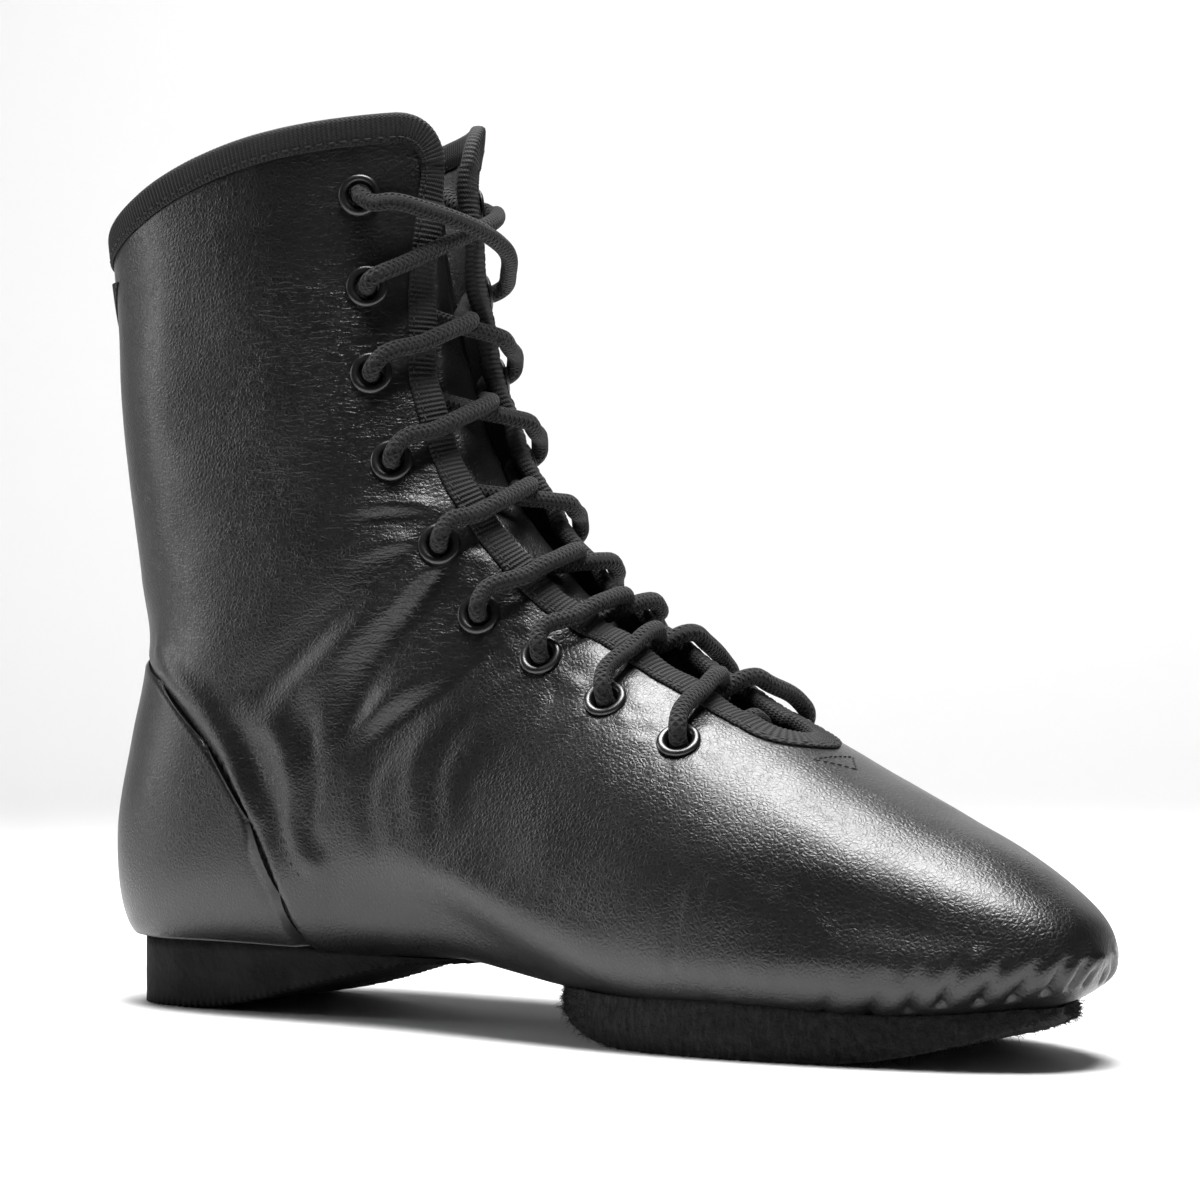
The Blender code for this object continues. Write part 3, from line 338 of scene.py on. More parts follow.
def near_path(points, path):
    """Distance of each point from a path of segments, and the share along it."""
    best = np.full(points.shape[:-1], 1.0)
    share = np.zeros_like(best)
    for k, (a, b) in enumerate(zip(path, path[1:])):
        line = b - a
        t = np.clip((points - a) @ line / (line @ line), 0, 1)
        gap = np.linalg.norm(points - a - t[..., None] * line, axis=-1)
        closer = gap < best
        best = np.where(closer, gap, best)
        share = np.where(closer, (k + t) / (len(path) - 1), share)
    return best, share


def noise(points, cell, seed):
    """Smooth noise from 0 to 1: hashed corners of a lattice, mixed with a soft step."""
    place = points / cell + seed * 17.31
    low = np.floor(place).astype(np.int64)
    t = place - low
    t = t * t * (3 - 2 * t)
    total = np.zeros(points.shape[:-1])
    for corner in np.ndindex(2, 2, 2):
        at = low + np.array(corner)
        mixed = ((at[..., 0] * 73856093) ^ (at[..., 1] * 19349663) ^ (at[..., 2] * 83492791)
                 ^ (seed * 2654435))
        mixed = (((mixed ^ (mixed >> 13)) & 0x7FFFFFFF) * 1274126177) & 0x7FFFFFFF
        weight = np.prod(np.where(np.array(corner) == 1, t, 1 - t), axis=-1)
        total += weight * ((mixed ^ (mixed >> 16)) & 0xFFFF) / 65535.0
    return total


# %% The relief of the leather
def seam_gap(points):
    """Signed distance in front of the counter's slanting seam, seen from the side."""
    line = np.stack([SEAM_ROWS[:, 0] * LENGTH - CENTRE_X,
                     HEEL_THICK + SEAM_ROWS[:, 1] * INSTEP_HEIGHT], -1)
    fine = blend(line, np.linspace(0, len(line) - 1, 40))
    flat = points[..., [0, 2]]
    best = np.full(flat.shape[:-1], 1.0)
    sign = np.ones_like(best)
    for a, b in zip(fine, fine[1:]):
        step = b - a
        t = np.clip((flat - a) @ step / (step @ step), 0, 1)
        gap = np.linalg.norm(flat - a - t[..., None] * step, axis=-1)
        ahead = (flat[..., 0] - a[0]) * -step[1] + (flat[..., 1] - a[1]) * step[0]
        closer = gap < best
        best = np.where(closer, gap, best)
        sign = np.where(closer, np.sign(ahead), sign)
    return best * sign


CREASE_PATHS = [(height * MM, width * MM, path_points(path)) for _, height, width, path in CREASES]
PLEAT_PATHS = []
for row_top, turn_top, row_low, turn_low, depth in PLEATS:
    for side in (-1, 1):
        middle = ((row_top + row_low) / 2 + 0.05, side * (turn_top + turn_low) / 2)
        ends = [(row_top, side * turn_top), middle, (row_low, side * turn_low)]
        PLEAT_PATHS.append((depth * MM, path_points(ends, 10)))
        beside = [(r + 0.22, t) for r, t in ends]
        CREASE_PATHS.append((0.45 * depth * MM, 1.5 * MM, path_points(beside, 10)))
PLEAT_WIDTH = 0.80 * MM
BACK_ROWS = (4, 13)
SEAM_FADE = 1.5 * MM
PUCKER_REACH = 22 * MM
SEAT_REACH = 4.8 * MM
SEAT_DEPTH = 0.25 * MM
FACING_WAVE = 0.55 * MM


def folds(points):
    """The creases added and the pleats taken off, each weaker with the distance from its path."""
    height = np.zeros(points.shape[:-1])
    for peak, width, path in CREASE_PATHS:
        gap, share = near_path(points, path)
        fade = np.sin(np.pi * (0.12 + 0.76 * share)) ** 0.8
        height += peak * fade * np.exp(-(gap / width) ** 2)
    for depth, path in PLEAT_PATHS:
        gap, share = near_path(points, path)
        height -= 1.1 * depth * (0.25 + 0.75 * share) * np.exp(-(gap / PLEAT_WIDTH) ** 2)
    return height


def pucker(height, points, centre, axis, k):
    """The height with an eyelet's rays, two sines of the angle, and a flat seat for its ring."""
    away = points - centre
    gap = np.linalg.norm(away, axis=-1)
    near = gap < PUCKER_REACH
    if not near.any():
        return height
    first = np.cross(axis, [0, 1, 0.2])
    first /= np.linalg.norm(first)
    second = np.cross(axis, first)
    angle = np.arctan2(away @ second, away @ first)
    ring = np.clip((gap - 5 * MM) / (3 * MM), 0, 1)
    ring = ring * np.exp(-np.clip(gap - 6 * MM, 0, 1) / (4.5 * MM))
    rays = np.sin(7 * angle + 2.1 * k) * 0.6 + np.sin(11 * angle + 1.3 * k) * 0.4
    strength = 0.22 + 0.16 * (k in (4, 5)) - 0.08 * (k < 3)
    height = height + np.where(near, strength * MM * ring * rays, 0)
    flat = np.exp(-(gap / SEAT_REACH) ** 4)
    return height * (1 - flat) - SEAT_DEPTH * flat


def relief(rows, turns):
    """How far the leather stands off the last: the sum of its folds, puckers and soft waves."""
    points = look_up(rows, turns)[0]
    turns = (np.asarray(turns, float) + 1) % 2 - 1
    rows, turns = np.broadcast_arrays(np.asarray(rows, float), turns)
    height = folds(points)
    gap = seam_gap(points)
    back = (rows > BACK_ROWS[0]) & (rows < BACK_ROWS[1])
    height *= np.where(back, np.clip((gap + SEAM_FADE) / (2 * SEAM_FADE), 0, 1), 1.0)
    lip = np.where(gap > 0, np.exp(-gap / (5 * MM)) * (1 - np.exp(-gap / (0.5 * MM))), 0.0)
    height += np.where(back, 0.9 * MM * lip, 0)
    height -= np.where(back, 0.25 * MM * np.exp(-(gap / (0.9 * MM)) ** 2), 0)
    broad, fine = noise(points, 26 * MM, 3) - 0.5, noise(points, 11 * MM, 5) - 0.5
    swell = broad * 1.1 * MM + fine * 0.42 * MM
    toe_fade = np.clip((LAST_ROW - rows) / 1.5, 0, 1)
    height += swell * np.where(back, np.where(gap < 0, 0.35, 1.0) * toe_fade, toe_fade)
    for side in (-1, 1):
        for k, (centre, axis) in enumerate(zip(*EYE_POINTS[side])):
            height = pucker(height, points, centre, axis, k)
        edge = throat_edge(rows, side)
        inward = (np.abs(turns) - np.abs(edge)) * half_length(rows, side)
        own = (turns * side >= 0) & (rows < THROAT_END + 1)
        wave = np.cos(2 * np.pi * np.interp(rows, SPOTS[side][0], np.arange(EYELETS)))
        lift = -FACING_WAVE * wave * np.exp(-np.abs(inward) / (6 * MM))
        height += np.where(own & (rows > 0.5) & (rows < 13.2), lift, 0)
    return height


def leather(rows, turns):
    """Point of the leather's outer face, and its outward direction."""
    points, normal = look_up(rows, turns)[:2]
    return points + normal * relief(rows, turns)[..., None], normal


# %% [markdown]
# Small helpers put arrays into meshes. Faces are worked out for the whole grid at once.

# %% Mesh helpers
def grid_quads(down, across, wrap_down=False, wrap_across=False):
    """Quads of a grid stored row after row; a wrapped direction joins its last line and first."""
    i = np.arange(down if wrap_down else down - 1)[:, None]
    j = np.arange(across if wrap_across else across - 1)[None, :]
    i2, j2 = (i + 1) % down, (j + 1) % across
    corners = (i * across + j, i * across + j2, i2 * across + j2, i2 * across + j)
    return np.stack(np.broadcast_arrays(*corners), -1).reshape(-1, 4)


def make_mesh(name, points, faces, finish, uv=None):
    """A mesh object at the origin from an array of points and one or more arrays of faces."""
    mesh = bpy.data.meshes.new(name)
    faces = faces if isinstance(faces, list) else [faces]
    faces = [f for f in faces if len(f)]
    loops = np.concatenate([f.ravel() for f in faces]).astype(np.int32)
    totals = np.concatenate([np.full(len(f), f.shape[1]) for f in faces]).astype(np.int32)
    starts = np.concatenate([[0], np.cumsum(totals)[:-1]]).astype(np.int32)
    points = np.asarray(points, np.float32).reshape(-1, 3)
    mesh.vertices.add(len(points))
    mesh.vertices.foreach_set("co", points.ravel())
    mesh.loops.add(len(loops))
    mesh.loops.foreach_set("vertex_index", loops)
    mesh.polygons.add(len(totals))
    mesh.polygons.foreach_set("loop_start", starts)
    mesh.polygons.foreach_set("loop_total", totals)
    if uv is not None:
        layer = mesh.uv_layers.new(name="UVMap")
        layer.data.foreach_set("uv", np.asarray(uv, np.float32).reshape(-1, 2)[loops].ravel())
    mesh.update(calc_edges=True)
    mesh.validate()
    mesh.shade_smooth()
    mesh.materials.append(finish)
    made = bpy.data.objects.new(name, mesh)
    bpy.context.scene.collection.objects.link(made)
    return made


def add_field(piece, name, values):
    """A number on each vertex, for a material to read."""
    field = piece.data.attributes.new(name, "FLOAT", "POINT")
    field.data.foreach_set("value", np.asarray(values, np.float32).ravel())


def triangles(piece):
    """How many triangles a piece has."""
    return sum(len(p.vertices) - 2 for p in piece.data.polygons)


def tube(path, radius, sides):
    """A closed tube: rings square to the path, carried along it without spinning, and capped."""
    ahead = np.gradient(path, axis=0)
    ahead /= np.linalg.norm(ahead, axis=1, keepdims=True)
    first = np.zeros_like(path)
    start = np.cross(ahead[0], [0.0, 0.0, 1.0])
    if np.linalg.norm(start) < 1e-3:
        start = np.cross(ahead[0], [0.0, 1.0, 0.0])
    for k, direction in enumerate(ahead):
        start = start - direction * (start @ direction)
        start /= np.linalg.norm(start)
        first[k] = start
    second = np.cross(ahead, first)
    angles = np.linspace(0, 2 * np.pi, sides, endpoint=False)
    rings = path[:, None] + radius * (np.cos(angles)[None, :, None] * first[:, None]
                                      + np.sin(angles)[None, :, None] * second[:, None])
    along = run_length(path)
    uv = np.stack(np.broadcast_arrays(along[:, None], angles[None, :] / (2 * np.pi)), -1)
    count = len(path)
    points = np.concatenate([rings.reshape(-1, 3), path[:1], path[-1:]])
    uv = np.concatenate([uv.reshape(-1, 2), [[0, 0]], [[along[-1], 0]]])
    j = np.arange(sides)
    beside = (j + 1) % sides
    head = np.stack([beside, j, np.full(sides, count * sides)], -1)
    last = (count - 1) * sides
    tail = np.stack([last + j, last + beside, np.full(sides, count * sides + 1)], -1)
    return points, grid_quads(count, sides, wrap_across=True), np.concatenate([head, tail]), uv


def even_steps(points, step):
    """The same path, with points at equal distances."""
    along = run_length(points)
    wanted = np.linspace(0, along[-1], max(int(round(along[-1] / step)), 4) + 1)
    return np.stack([np.interp(wanted, along, points[:, axis]) for axis in range(3)], -1)


def turn_outward(piece):
    """Flips a closed piece whose faces point inward, found from its signed volume."""
    mesh = piece.data
    mesh.calc_loop_triangles()
    corners = np.zeros(len(mesh.loop_triangles) * 3, np.int32)
    mesh.loop_triangles.foreach_get("vertices", corners)
    points = np.zeros(len(mesh.vertices) * 3, np.float32)
    mesh.vertices.foreach_get("co", points)
    a, b, c = points.reshape(-1, 3).astype(float)[corners.reshape(-1, 3)].transpose(1, 0, 2)
    if (a * np.cross(b, c)).sum() < 0:
        mesh.flip_normals()
    return piece


def closed_sheet(name, outer, inner, finish, uv=None):
    """A thin closed piece: one grid for each face, and quads round the border between them."""
    down, across = outer.shape[:2]
    count = down * across
    index = np.arange(count).reshape(down, across)
    border = np.concatenate([index[0, :-1], index[:-1, -1], index[-1, :0:-1], index[:0:-1, 0]])
    after = np.roll(border, -1)
    sides = np.stack([border, border + count, after + count, after], -1)
    quads = grid_quads(down, across)
    points = np.concatenate([outer.reshape(-1, 3), inner.reshape(-1, 3)])
    return turn_outward(make_mesh(name, points, [quads, quads[:, ::-1] + count, sides[:, ::-1]],
                                  finish, uv=uv))


def dress(piece, slot, *nodes):
    """The piece rides on the boot and stands for its CAD nodes. The slot is not used."""
    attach(piece, "root")
    if nodes:
        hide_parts(*nodes)
    print(piece.name + ":", triangles(piece), "triangles")
    return piece


# %% [markdown]
# The camera stands where the photographer stood: low, a little in front of the boot, on its inner
# side, with a long lens. Its place and lens come from matching the boot's outline to the picture.

# %% Camera
camera = bpy.data.objects.new("camera", bpy.data.cameras.new("camera"))
bpy.context.scene.collection.objects.link(camera)
TOE_TURN = np.radians(35.0)
SENSOR_WIDTH = 36.0
FOCAL_PIXELS = 3740
PHOTO_WIDTH = 1200
camera.location = (0.4523, -0.6400, 0.0889)
camera.rotation_euler = (np.radians(90.0), 0.0, TOE_TURN)
camera.data.sensor_width = SENSOR_WIDTH
camera.data.sensor_fit = "HORIZONTAL"
camera.data.lens = SENSOR_WIDTH * FOCAL_PIXELS / PHOTO_WIDTH
camera.data.clip_start = 0.01
bpy.context.scene.camera = camera
print("lens, mm:", round(camera.data.lens, 1))

# %% [markdown]
# Finishes are node trees. A small helper adds a node and wires it, so that each recipe below
# reads from top to bottom: coordinates, pattern, height, bump, shader.

# %% Material helpers
class Recipe:
    """One material's node tree, with short calls for adding nodes and linking them."""

    def __init__(self, name, color, roughness, **constants):
        self.material = bpy.data.materials.new(name)
        self.material.use_nodes = True
        self.tree = self.material.node_tree
        self.shader = self.tree.nodes["Principled BSDF"]
        self.shader.inputs["Base Color"].default_value = (*color, 1.0)
        self.shader.inputs["Roughness"].default_value = roughness
        for key, value in constants.items():
            self.shader.inputs[key.replace("_", " ")].default_value = value
        self.material.diffuse_color = (*color, 1.0)

    def add(self, kind, settings=None, **inputs):
        """A node with its settings; each input is a link or a number, by its name or i0 and i1."""
        node = self.tree.nodes.new(kind)
        for key, value in (settings or {}).items():
            setattr(node, key, value)
        for key, value in inputs.items():
            socket = node.inputs[int(key[1:]) if key in ("i0", "i1") else key]
            if isinstance(value, bpy.types.NodeSocket):
                self.tree.links.new(value, socket)
            else:
                socket.default_value = value
        return node

    def math(self, operation, a, b=0.0):
        """One sum on two values."""
        return self.add("ShaderNodeMath", {"operation": operation}, i0=a, i1=b).outputs[0]

    def wave(self, value, pitch):
        """A sine that repeats every pitch of a length."""
        return self.math("SINE", self.math("MULTIPLY", value, 2 * np.pi / pitch))

    def spread(self, value, low, high, to_low=0.0, to_high=1.0):
        """Low to high stretched over to_low to to_high, and held at both ends."""
        node = self.add("ShaderNodeMapRange", {"clamp": True}, Value=value)
        limits = {"From Min": low, "From Max": high, "To Min": to_low, "To Max": to_high}
        for key, number in limits.items():
            node.inputs[key].default_value = number
        return node.outputs["Result"]

    def place(self, scale=(1, 1, 1), turn=(0, 0, 0), uv=False):
        """The place on the object, or the piece's own lengths, scaled and turned."""
        out = self.add("ShaderNodeTexCoord").outputs["UV" if uv else "Object"]
        node = self.add("ShaderNodeMapping", Vector=out)
        node.inputs["Scale"].default_value = scale
        node.inputs["Rotation"].default_value = turn
        return node.outputs["Vector"]

    def lengths(self):
        """The piece's own lengths: along it and across it."""
        split = self.add("ShaderNodeSeparateXYZ", Vector=self.place(uv=True))
        return split.outputs["X"], split.outputs["Y"]

    def noise(self, vector, scale, detail=2.0, rough=0.5):
        """Soft noise from 0 to 1, with about scale blobs to a metre."""
        node = self.add("ShaderNodeTexNoise", Vector=vector, Scale=scale, Detail=detail,
                        Roughness=rough)
        return node.outputs["Fac"]

    def field(self, name):
        """A number that the mesh carries on its vertices."""
        return self.add("ShaderNodeAttribute", {"attribute_name": name}).outputs["Fac"]

    def bump(self, height, distance, strength):
        """The surface's direction, tilted as if the height, times a distance, were real."""
        node = self.add("ShaderNodeBump", Height=height)
        node.inputs["Distance"].default_value = distance
        node.inputs["Strength"].default_value = strength
        return node.outputs["Normal"]

    def finish(self, normal=None, color=None, roughness=None):
        """Links what is given to the shader, and hands over the material."""
        for socket, name in ((normal, "Normal"), (color, "Base Color"), (roughness, "Roughness")):
            if socket is not None:
                self.tree.links.new(socket, self.shader.inputs[name])
        return self.material

    def ramp(self, value, *stops):
        """A colour for each value, mixed between stops of place and colour."""
        node = self.add("ShaderNodeValToRGB", Fac=value)
        ramp = node.color_ramp
        while len(ramp.elements) < len(stops):
            ramp.elements.new(0.5)
        for element, (place, color) in zip(ramp.elements, stops):
            element.position = place
            element.color = (*color, 1.0)
        return node.outputs["Color"]


# %% [markdown]
# The leather is thin, soft and black, with a fine pebble grain that stretches into wavy lines
# where the shaft flexes. Pebbles are cells: a Voronoi pattern gives the distance to the nearest
# cell edge, and a little noise bends its straight walls. The tops of the pebbles are a little
# glossier than the lines between them.

# %% Leather
GRAIN_HEIGHT = 0.000072
BLACK = (0.0036, 0.0036, 0.0039)


def leather_recipe(name, color, roughness, grain=1.0, creased=True):
    """Pebbles of about a millimetre, fine pores, and wavy lines where 'flexed' is high."""
    r = Recipe(name, color, roughness, Coat_Weight=0.22, Coat_Roughness=0.26,
               Specular_IOR_Level=0.46)
    at = r.place()
    warp = r.add("ShaderNodeTexNoise", Vector=at, Scale=420.0, Detail=2.0)
    shift = r.add("ShaderNodeVectorMath", {"operation": "SCALE"}, i0=warp.outputs["Color"])
    shift.inputs["Scale"].default_value = 0.0016
    bent = r.add("ShaderNodeVectorMath", {"operation": "ADD"}, i0=at, i1=shift.outputs[0])
    cells = r.add("ShaderNodeTexVoronoi", {"feature": "DISTANCE_TO_EDGE"},
                  Vector=bent.outputs[0], Scale=1050.0)
    pebble = r.spread(cells.outputs["Distance"], 0.0, 0.32)
    uneven = r.noise(at, 160.0, 2.0)
    pores = r.noise(at, 2600.0, 2.0, 0.6)
    height = r.math("MULTIPLY", pebble, r.spread(uneven, 0.3, 0.7, 0.75, 1.0))
    height = r.math("ADD", height, r.math("MULTIPLY", pores, 0.35))
    if creased:
        long = r.noise(r.place(scale=(150, 150, 620), turn=(0.0, 0.12, 0.0)), 1.0, 3.0, 0.55)
        ridged = r.math("ABSOLUTE", r.math("SUBTRACT", long, 0.5))
        lines = r.math("MULTIPLY", r.spread(ridged, 0.0, 0.10), r.field("flexed"))
        height = r.math("ADD", height, r.math("MULTIPLY", lines, 1.3))
    normal = r.bump(height, GRAIN_HEIGHT * grain, 0.9)
    tone = r.ramp(r.noise(at, 45.0, 3.0), (0.3, tuple(0.8 * c for c in color)),
                  (0.7, tuple(1.35 * c for c in color)))
    cloud = r.spread(r.noise(at, 70.0, 3.0), 0.3, 0.7, roughness - 0.03, roughness + 0.03)
    gloss = r.math("ADD", cloud, r.math("MULTIPLY", pebble, -0.05))
    return r.finish(normal=normal, color=tone, roughness=gloss)


LEATHER = leather_recipe("black_leather", BLACK, 0.40)
COUNTER_LEATHER = leather_recipe("counter_leather", BLACK, 0.41, grain=0.8, creased=False)
TONGUE_LEATHER = leather_recipe("tongue_leather", BLACK, 0.44, grain=1.2, creased=False)
print("leathers made")

# %% [markdown]
# The other finishes are simpler. Lining, rubber and suede are noises of several sizes. The tape,
# the stretch fabric and the lace are woven, so their threads are sine waves along and across the
# piece's own lengths, which its UV map holds in metres. Their colour follows the same waves:
# painted shade in the troughs and painted light on the tops. The cord's second length goes once
# round it, from 0 to 1. Enamel and thread are smooth with a fine unevenness.


# %% Other finishes
TAPE_RIB = 1.05 * MM


def lining_finish():
    """Matt split leather: soft noise only."""
    r = Recipe("lining_leather", (0.012, 0.012, 0.013), 0.75, Sheen_Weight=0.05)
    at = r.place()
    broad = r.math("MULTIPLY", r.noise(at, 220.0, 2.0), 0.8)
    height = r.math("ADD", r.noise(at, 900.0, 3.0), broad)
    tone = r.ramp(r.noise(at, 90.0, 3.0), (0.3, (0.008, 0.008, 0.009)),
                  (0.7, (0.015, 0.015, 0.016)))
    return r.finish(normal=r.bump(height, 0.00015, 0.7), color=tone)


def tape_finish():
    """Woven tape: warp threads across and weft ribs, both read from the tape's own lengths."""
    r = Recipe("woven_tape", (0.006, 0.006, 0.006), 0.72, Sheen_Weight=0.06, Sheen_Roughness=0.4,
               Specular_IOR_Level=0.35)
    along, across = r.lengths()
    rib, row = r.wave(along, TAPE_RIB), r.wave(across, 0.62 * MM)
    threads = r.math("MULTIPLY", r.math("MULTIPLY", rib, row), 0.5)
    weave = r.math("ADD", r.math("MULTIPLY", rib, 0.6), threads)
    fuzz = r.noise(r.place(), 3200.0, 2.0, 0.7)
    height = r.math("ADD", weave, r.math("MULTIPLY", fuzz, 0.8))
    # Painted shade and light: the colour is darker in the troughs of the weave and lighter on the
    # ribs' tops.
    tone = r.ramp(r.spread(weave, -1.0, 1.0), (0.0, (0.003, 0.003, 0.003)),
                  (1.0, (0.012, 0.012, 0.013)))
    return r.finish(normal=r.bump(height, 0.00012, 0.9), color=tone)


def gore_finish():
    """Elastic fabric: fine upright ribs, crossed by the knit."""
    r = Recipe("stretch_fabric", (0.006, 0.006, 0.006), 0.85, Sheen_Weight=0.06,
               Specular_IOR_Level=0.3)
    beside, upright = r.lengths()
    rib, knit = r.wave(beside, 1.3 * MM), r.wave(upright, 0.7 * MM)
    height = r.math("ADD", rib, r.math("MULTIPLY", knit, 0.45))
    # Painted shade and light: the colour is darker in the valleys between the ribs and lighter on
    # their tops.
    tone = r.ramp(r.spread(rib, -1.0, 1.0), (0.0, (0.003, 0.003, 0.003)),
                  (1.0, (0.010, 0.010, 0.011)))
    return r.finish(normal=r.bump(height, 0.00018, 0.9), color=tone)


def rubber_finish():
    """Crepe-like rubber: matt, cloudy and a little pitted."""
    r = Recipe("pad_rubber", (0.006, 0.006, 0.006), 0.85, Specular_IOR_Level=0.25)
    at = r.place()
    pits = r.noise(at, 800.0, 4.0, 0.6)
    height = r.math("ADD", pits, r.math("MULTIPLY", r.noise(at, 240.0, 3.0), 1.2))
    tone = r.ramp(r.noise(at, 190.0, 4.0), (0.35, (0.003, 0.003, 0.003)),
                  (0.72, (0.010, 0.010, 0.010)))
    return r.finish(normal=r.bump(height, 0.00035, 0.9), color=tone)


def suede_finish():
    """Raw suede: fibres in every direction, very matt, with a faint nap."""
    r = Recipe("sole_suede", (0.006, 0.006, 0.006), 0.95, Sheen_Weight=0.08, Specular_IOR_Level=0.2)
    at = r.place()
    nap = r.noise(at, 1500.0, 5.0, 0.7)
    height = r.math("ADD", nap, r.math("MULTIPLY", r.noise(at, 420.0, 4.0, 0.6), 1.4))
    tone = r.ramp(r.noise(at, 600.0, 5.0, 0.7), (0.35, (0.004, 0.004, 0.004)),
                  (0.75, (0.022, 0.022, 0.022)))
    return r.finish(normal=r.bump(height, 0.0006, 1.0), color=tone)


def lace_finish():
    """Round braid: two sets of strands crossing as they wind, read from the lace's own lengths."""
    r = Recipe("lace_cord", (0.007, 0.007, 0.007), 0.75, Sheen_Weight=0.07, Sheen_Roughness=0.4,
               Specular_IOR_Level=0.35)
    x, y = r.lengths()
    along = r.math("MULTIPLY", r.math("MULTIPLY", x, 2 * np.pi / (3.4 * MM)), 3.0)
    round_it = r.math("MULTIPLY", y, 2 * np.pi * 6)
    left = r.math("SINE", r.math("ADD", along, round_it))
    right = r.math("SINE", r.math("SUBTRACT", along, round_it))
    braid = r.math("MAXIMUM", left, right)
    fuzz = r.noise(r.place(), 3000.0, 3.0, 0.7)
    height = r.math("ADD", braid, r.math("MULTIPLY", fuzz, 1.2))
    # Painted shade and light: the colour is darker in the gaps between the strands and lighter on
    # their tops.
    tone = r.ramp(r.spread(braid, -0.6, 1.0), (0.0, (0.003, 0.003, 0.003)),
                  (1.0, (0.014, 0.014, 0.015)))
    return r.finish(normal=r.bump(height, 0.00030, 1.0), color=tone)


def enamel_finish():
    """Black enamel over metal: smooth, dark and glossy, a touch worn."""
    r = Recipe("black_enamel", (0.006, 0.006, 0.007), 0.34, Metallic=0.0, Specular_IOR_Level=0.6,
               Coat_Weight=0.25, Coat_Roughness=0.22)
    at = r.place()
    rough = r.spread(r.noise(at, 500.0, 3.0), 0.3, 0.7, 0.28, 0.40)
    return r.finish(normal=r.bump(r.noise(at, 700.0, 2.0), 0.00003, 0.5), roughness=rough)


def thread_finish():
    """Sewing thread: matt, with a fine twist."""
    r = Recipe("sewing_thread", (0.008, 0.008, 0.009), 0.7, Sheen_Weight=0.05)
    return r.finish(normal=r.bump(r.noise(r.place(), 4200.0, 2.0), 0.00006, 0.6))


LINING, TAPE, GORE = lining_finish(), tape_finish(), gore_finish()
RUBBER, SUEDE, LACE = rubber_finish(), suede_finish(), lace_finish()
ENAMEL, THREAD = enamel_finish(), thread_finish()
print("finishes made")

# %% [markdown]
# The upper is one soft wall. Its outer face is a fine grid that follows the folds, and its inner
# face is a coarser grid one wall's thickness further in. Triangles join the two along the collar
# and the throat, under the tape, and round holes are cut for the eyelets.

# %% Upper
def even_rows(count):
    """Rows spaced so that the widest step anywhere round the section stays the same."""
    steps = np.linalg.norm(np.diff(GRID[:, ::20], axis=0), axis=-1).max(axis=1) ** 0.75
    along = np.concatenate([[0.0], np.cumsum(steps)])
    return np.interp(np.linspace(0, along[-1], count), along, GRID_ROWS)


def upper_lines(rows, near_count, far_count):
    """Turns from the near throat edge, round the back, to the far throat edge."""
    near = -np.abs(throat_edge(rows, -1))
    far = np.abs(throat_edge(rows, 1))
    share = np.linspace(0, 1, near_count)[None, :]
    first = near[:, None] + (-1 - near[:, None]) * share
    share = np.linspace(0, 1, far_count)[None, :]
    second = -1 - (1 - far[:, None]) * share
    return np.concatenate([first, second[:, 1:]], 1)


def border_strip(outer_line, inner_line, step):
    """Triangles between a fine line of points and a coarse one that has every step-th of them."""
    fine = np.arange(len(outer_line) - 1)
    coarse = fine // step
    a = np.stack([outer_line[fine], outer_line[fine + 1], inner_line[coarse]], -1)
    k = np.arange(len(inner_line) - 1)
    b = np.stack([outer_line[(k + 1) * step], inner_line[k + 1], inner_line[k]], -1)
    return np.concatenate([a, b])


STEP = 4
UPPER_DOWN, NEAR_COUNT, FAR_COUNT = 88 * STEP + 1, 30 * STEP + 1, 25 * STEP + 1
rows = even_rows(UPPER_DOWN)
end_index = int(np.abs(rows - THROAT_END).argmin()) // STEP * STEP
rows[end_index] = THROAT_END
turns = upper_lines(rows, NEAR_COUNT, FAR_COUNT)
outer, outward = leather(rows[:, None], turns)
coarse_rows, coarse_turns = rows[::STEP], turns[::STEP, ::STEP]
inner_base, inner_out = look_up(coarse_rows[:, None], coarse_turns)[:2]
inner_lift = relief(coarse_rows[:, None], coarse_turns) * 0.6 - WALL
inner = inner_base + inner_out * inner_lift[..., None]
down, across = turns.shape
down_c, across_c = coarse_turns.shape
outer_index = np.arange(down * across).reshape(down, across)
inner_index = np.arange(down_c * across_c).reshape(down_c, across_c) + down * across
joined, joined_in = outer_index.copy(), inner_index.copy()
for index, first_shared in ((joined, end_index), (joined_in, end_index // STEP)):
    index[first_shared:, -1] = index[first_shared:, 0]
    index[-1, :] = index[-1, 0]


def take(quads, index, flip=False):
    """Quads in terms of joined points, with any that closed up made triangles."""
    faces = index.ravel()[quads]
    if flip:
        faces = faces[:, ::-1]
    flat = (faces[:, 2] == faces[:, 3]) | (faces[:, 0] == faces[:, 1])
    whole = faces[~flat]
    bent = faces[flat]
    same = bent[:, 2] == bent[:, 3]
    tris = np.where(same[:, None], bent[:, [0, 1, 2]], bent[:, [1, 2, 3]])
    return whole, tris


outer_quads, outer_tris = take(grid_quads(down, across), joined)
inner_quads, inner_tris = take(grid_quads(down_c, across_c), joined_in - down * across, flip=True)
inner_quads, inner_tris = inner_quads + down * across, inner_tris + down * across
collar_strip = border_strip(joined[0, :], joined_in[0, :], STEP)
near_strip = border_strip(joined[:end_index + 1, 0], joined_in[:end_index // STEP + 1, 0], STEP)
far_strip = border_strip(joined[:end_index + 1, -1], joined_in[:end_index // STEP + 1, -1], STEP)
points = np.concatenate([outer.reshape(-1, 3), inner.reshape(-1, 3)])
tris = np.concatenate([outer_tris, inner_tris, collar_strip[:, ::-1], near_strip,
                       far_strip[:, ::-1]])
upper = make_mesh("boot_leather", points, [outer_quads, inner_quads, tris], LEATHER)


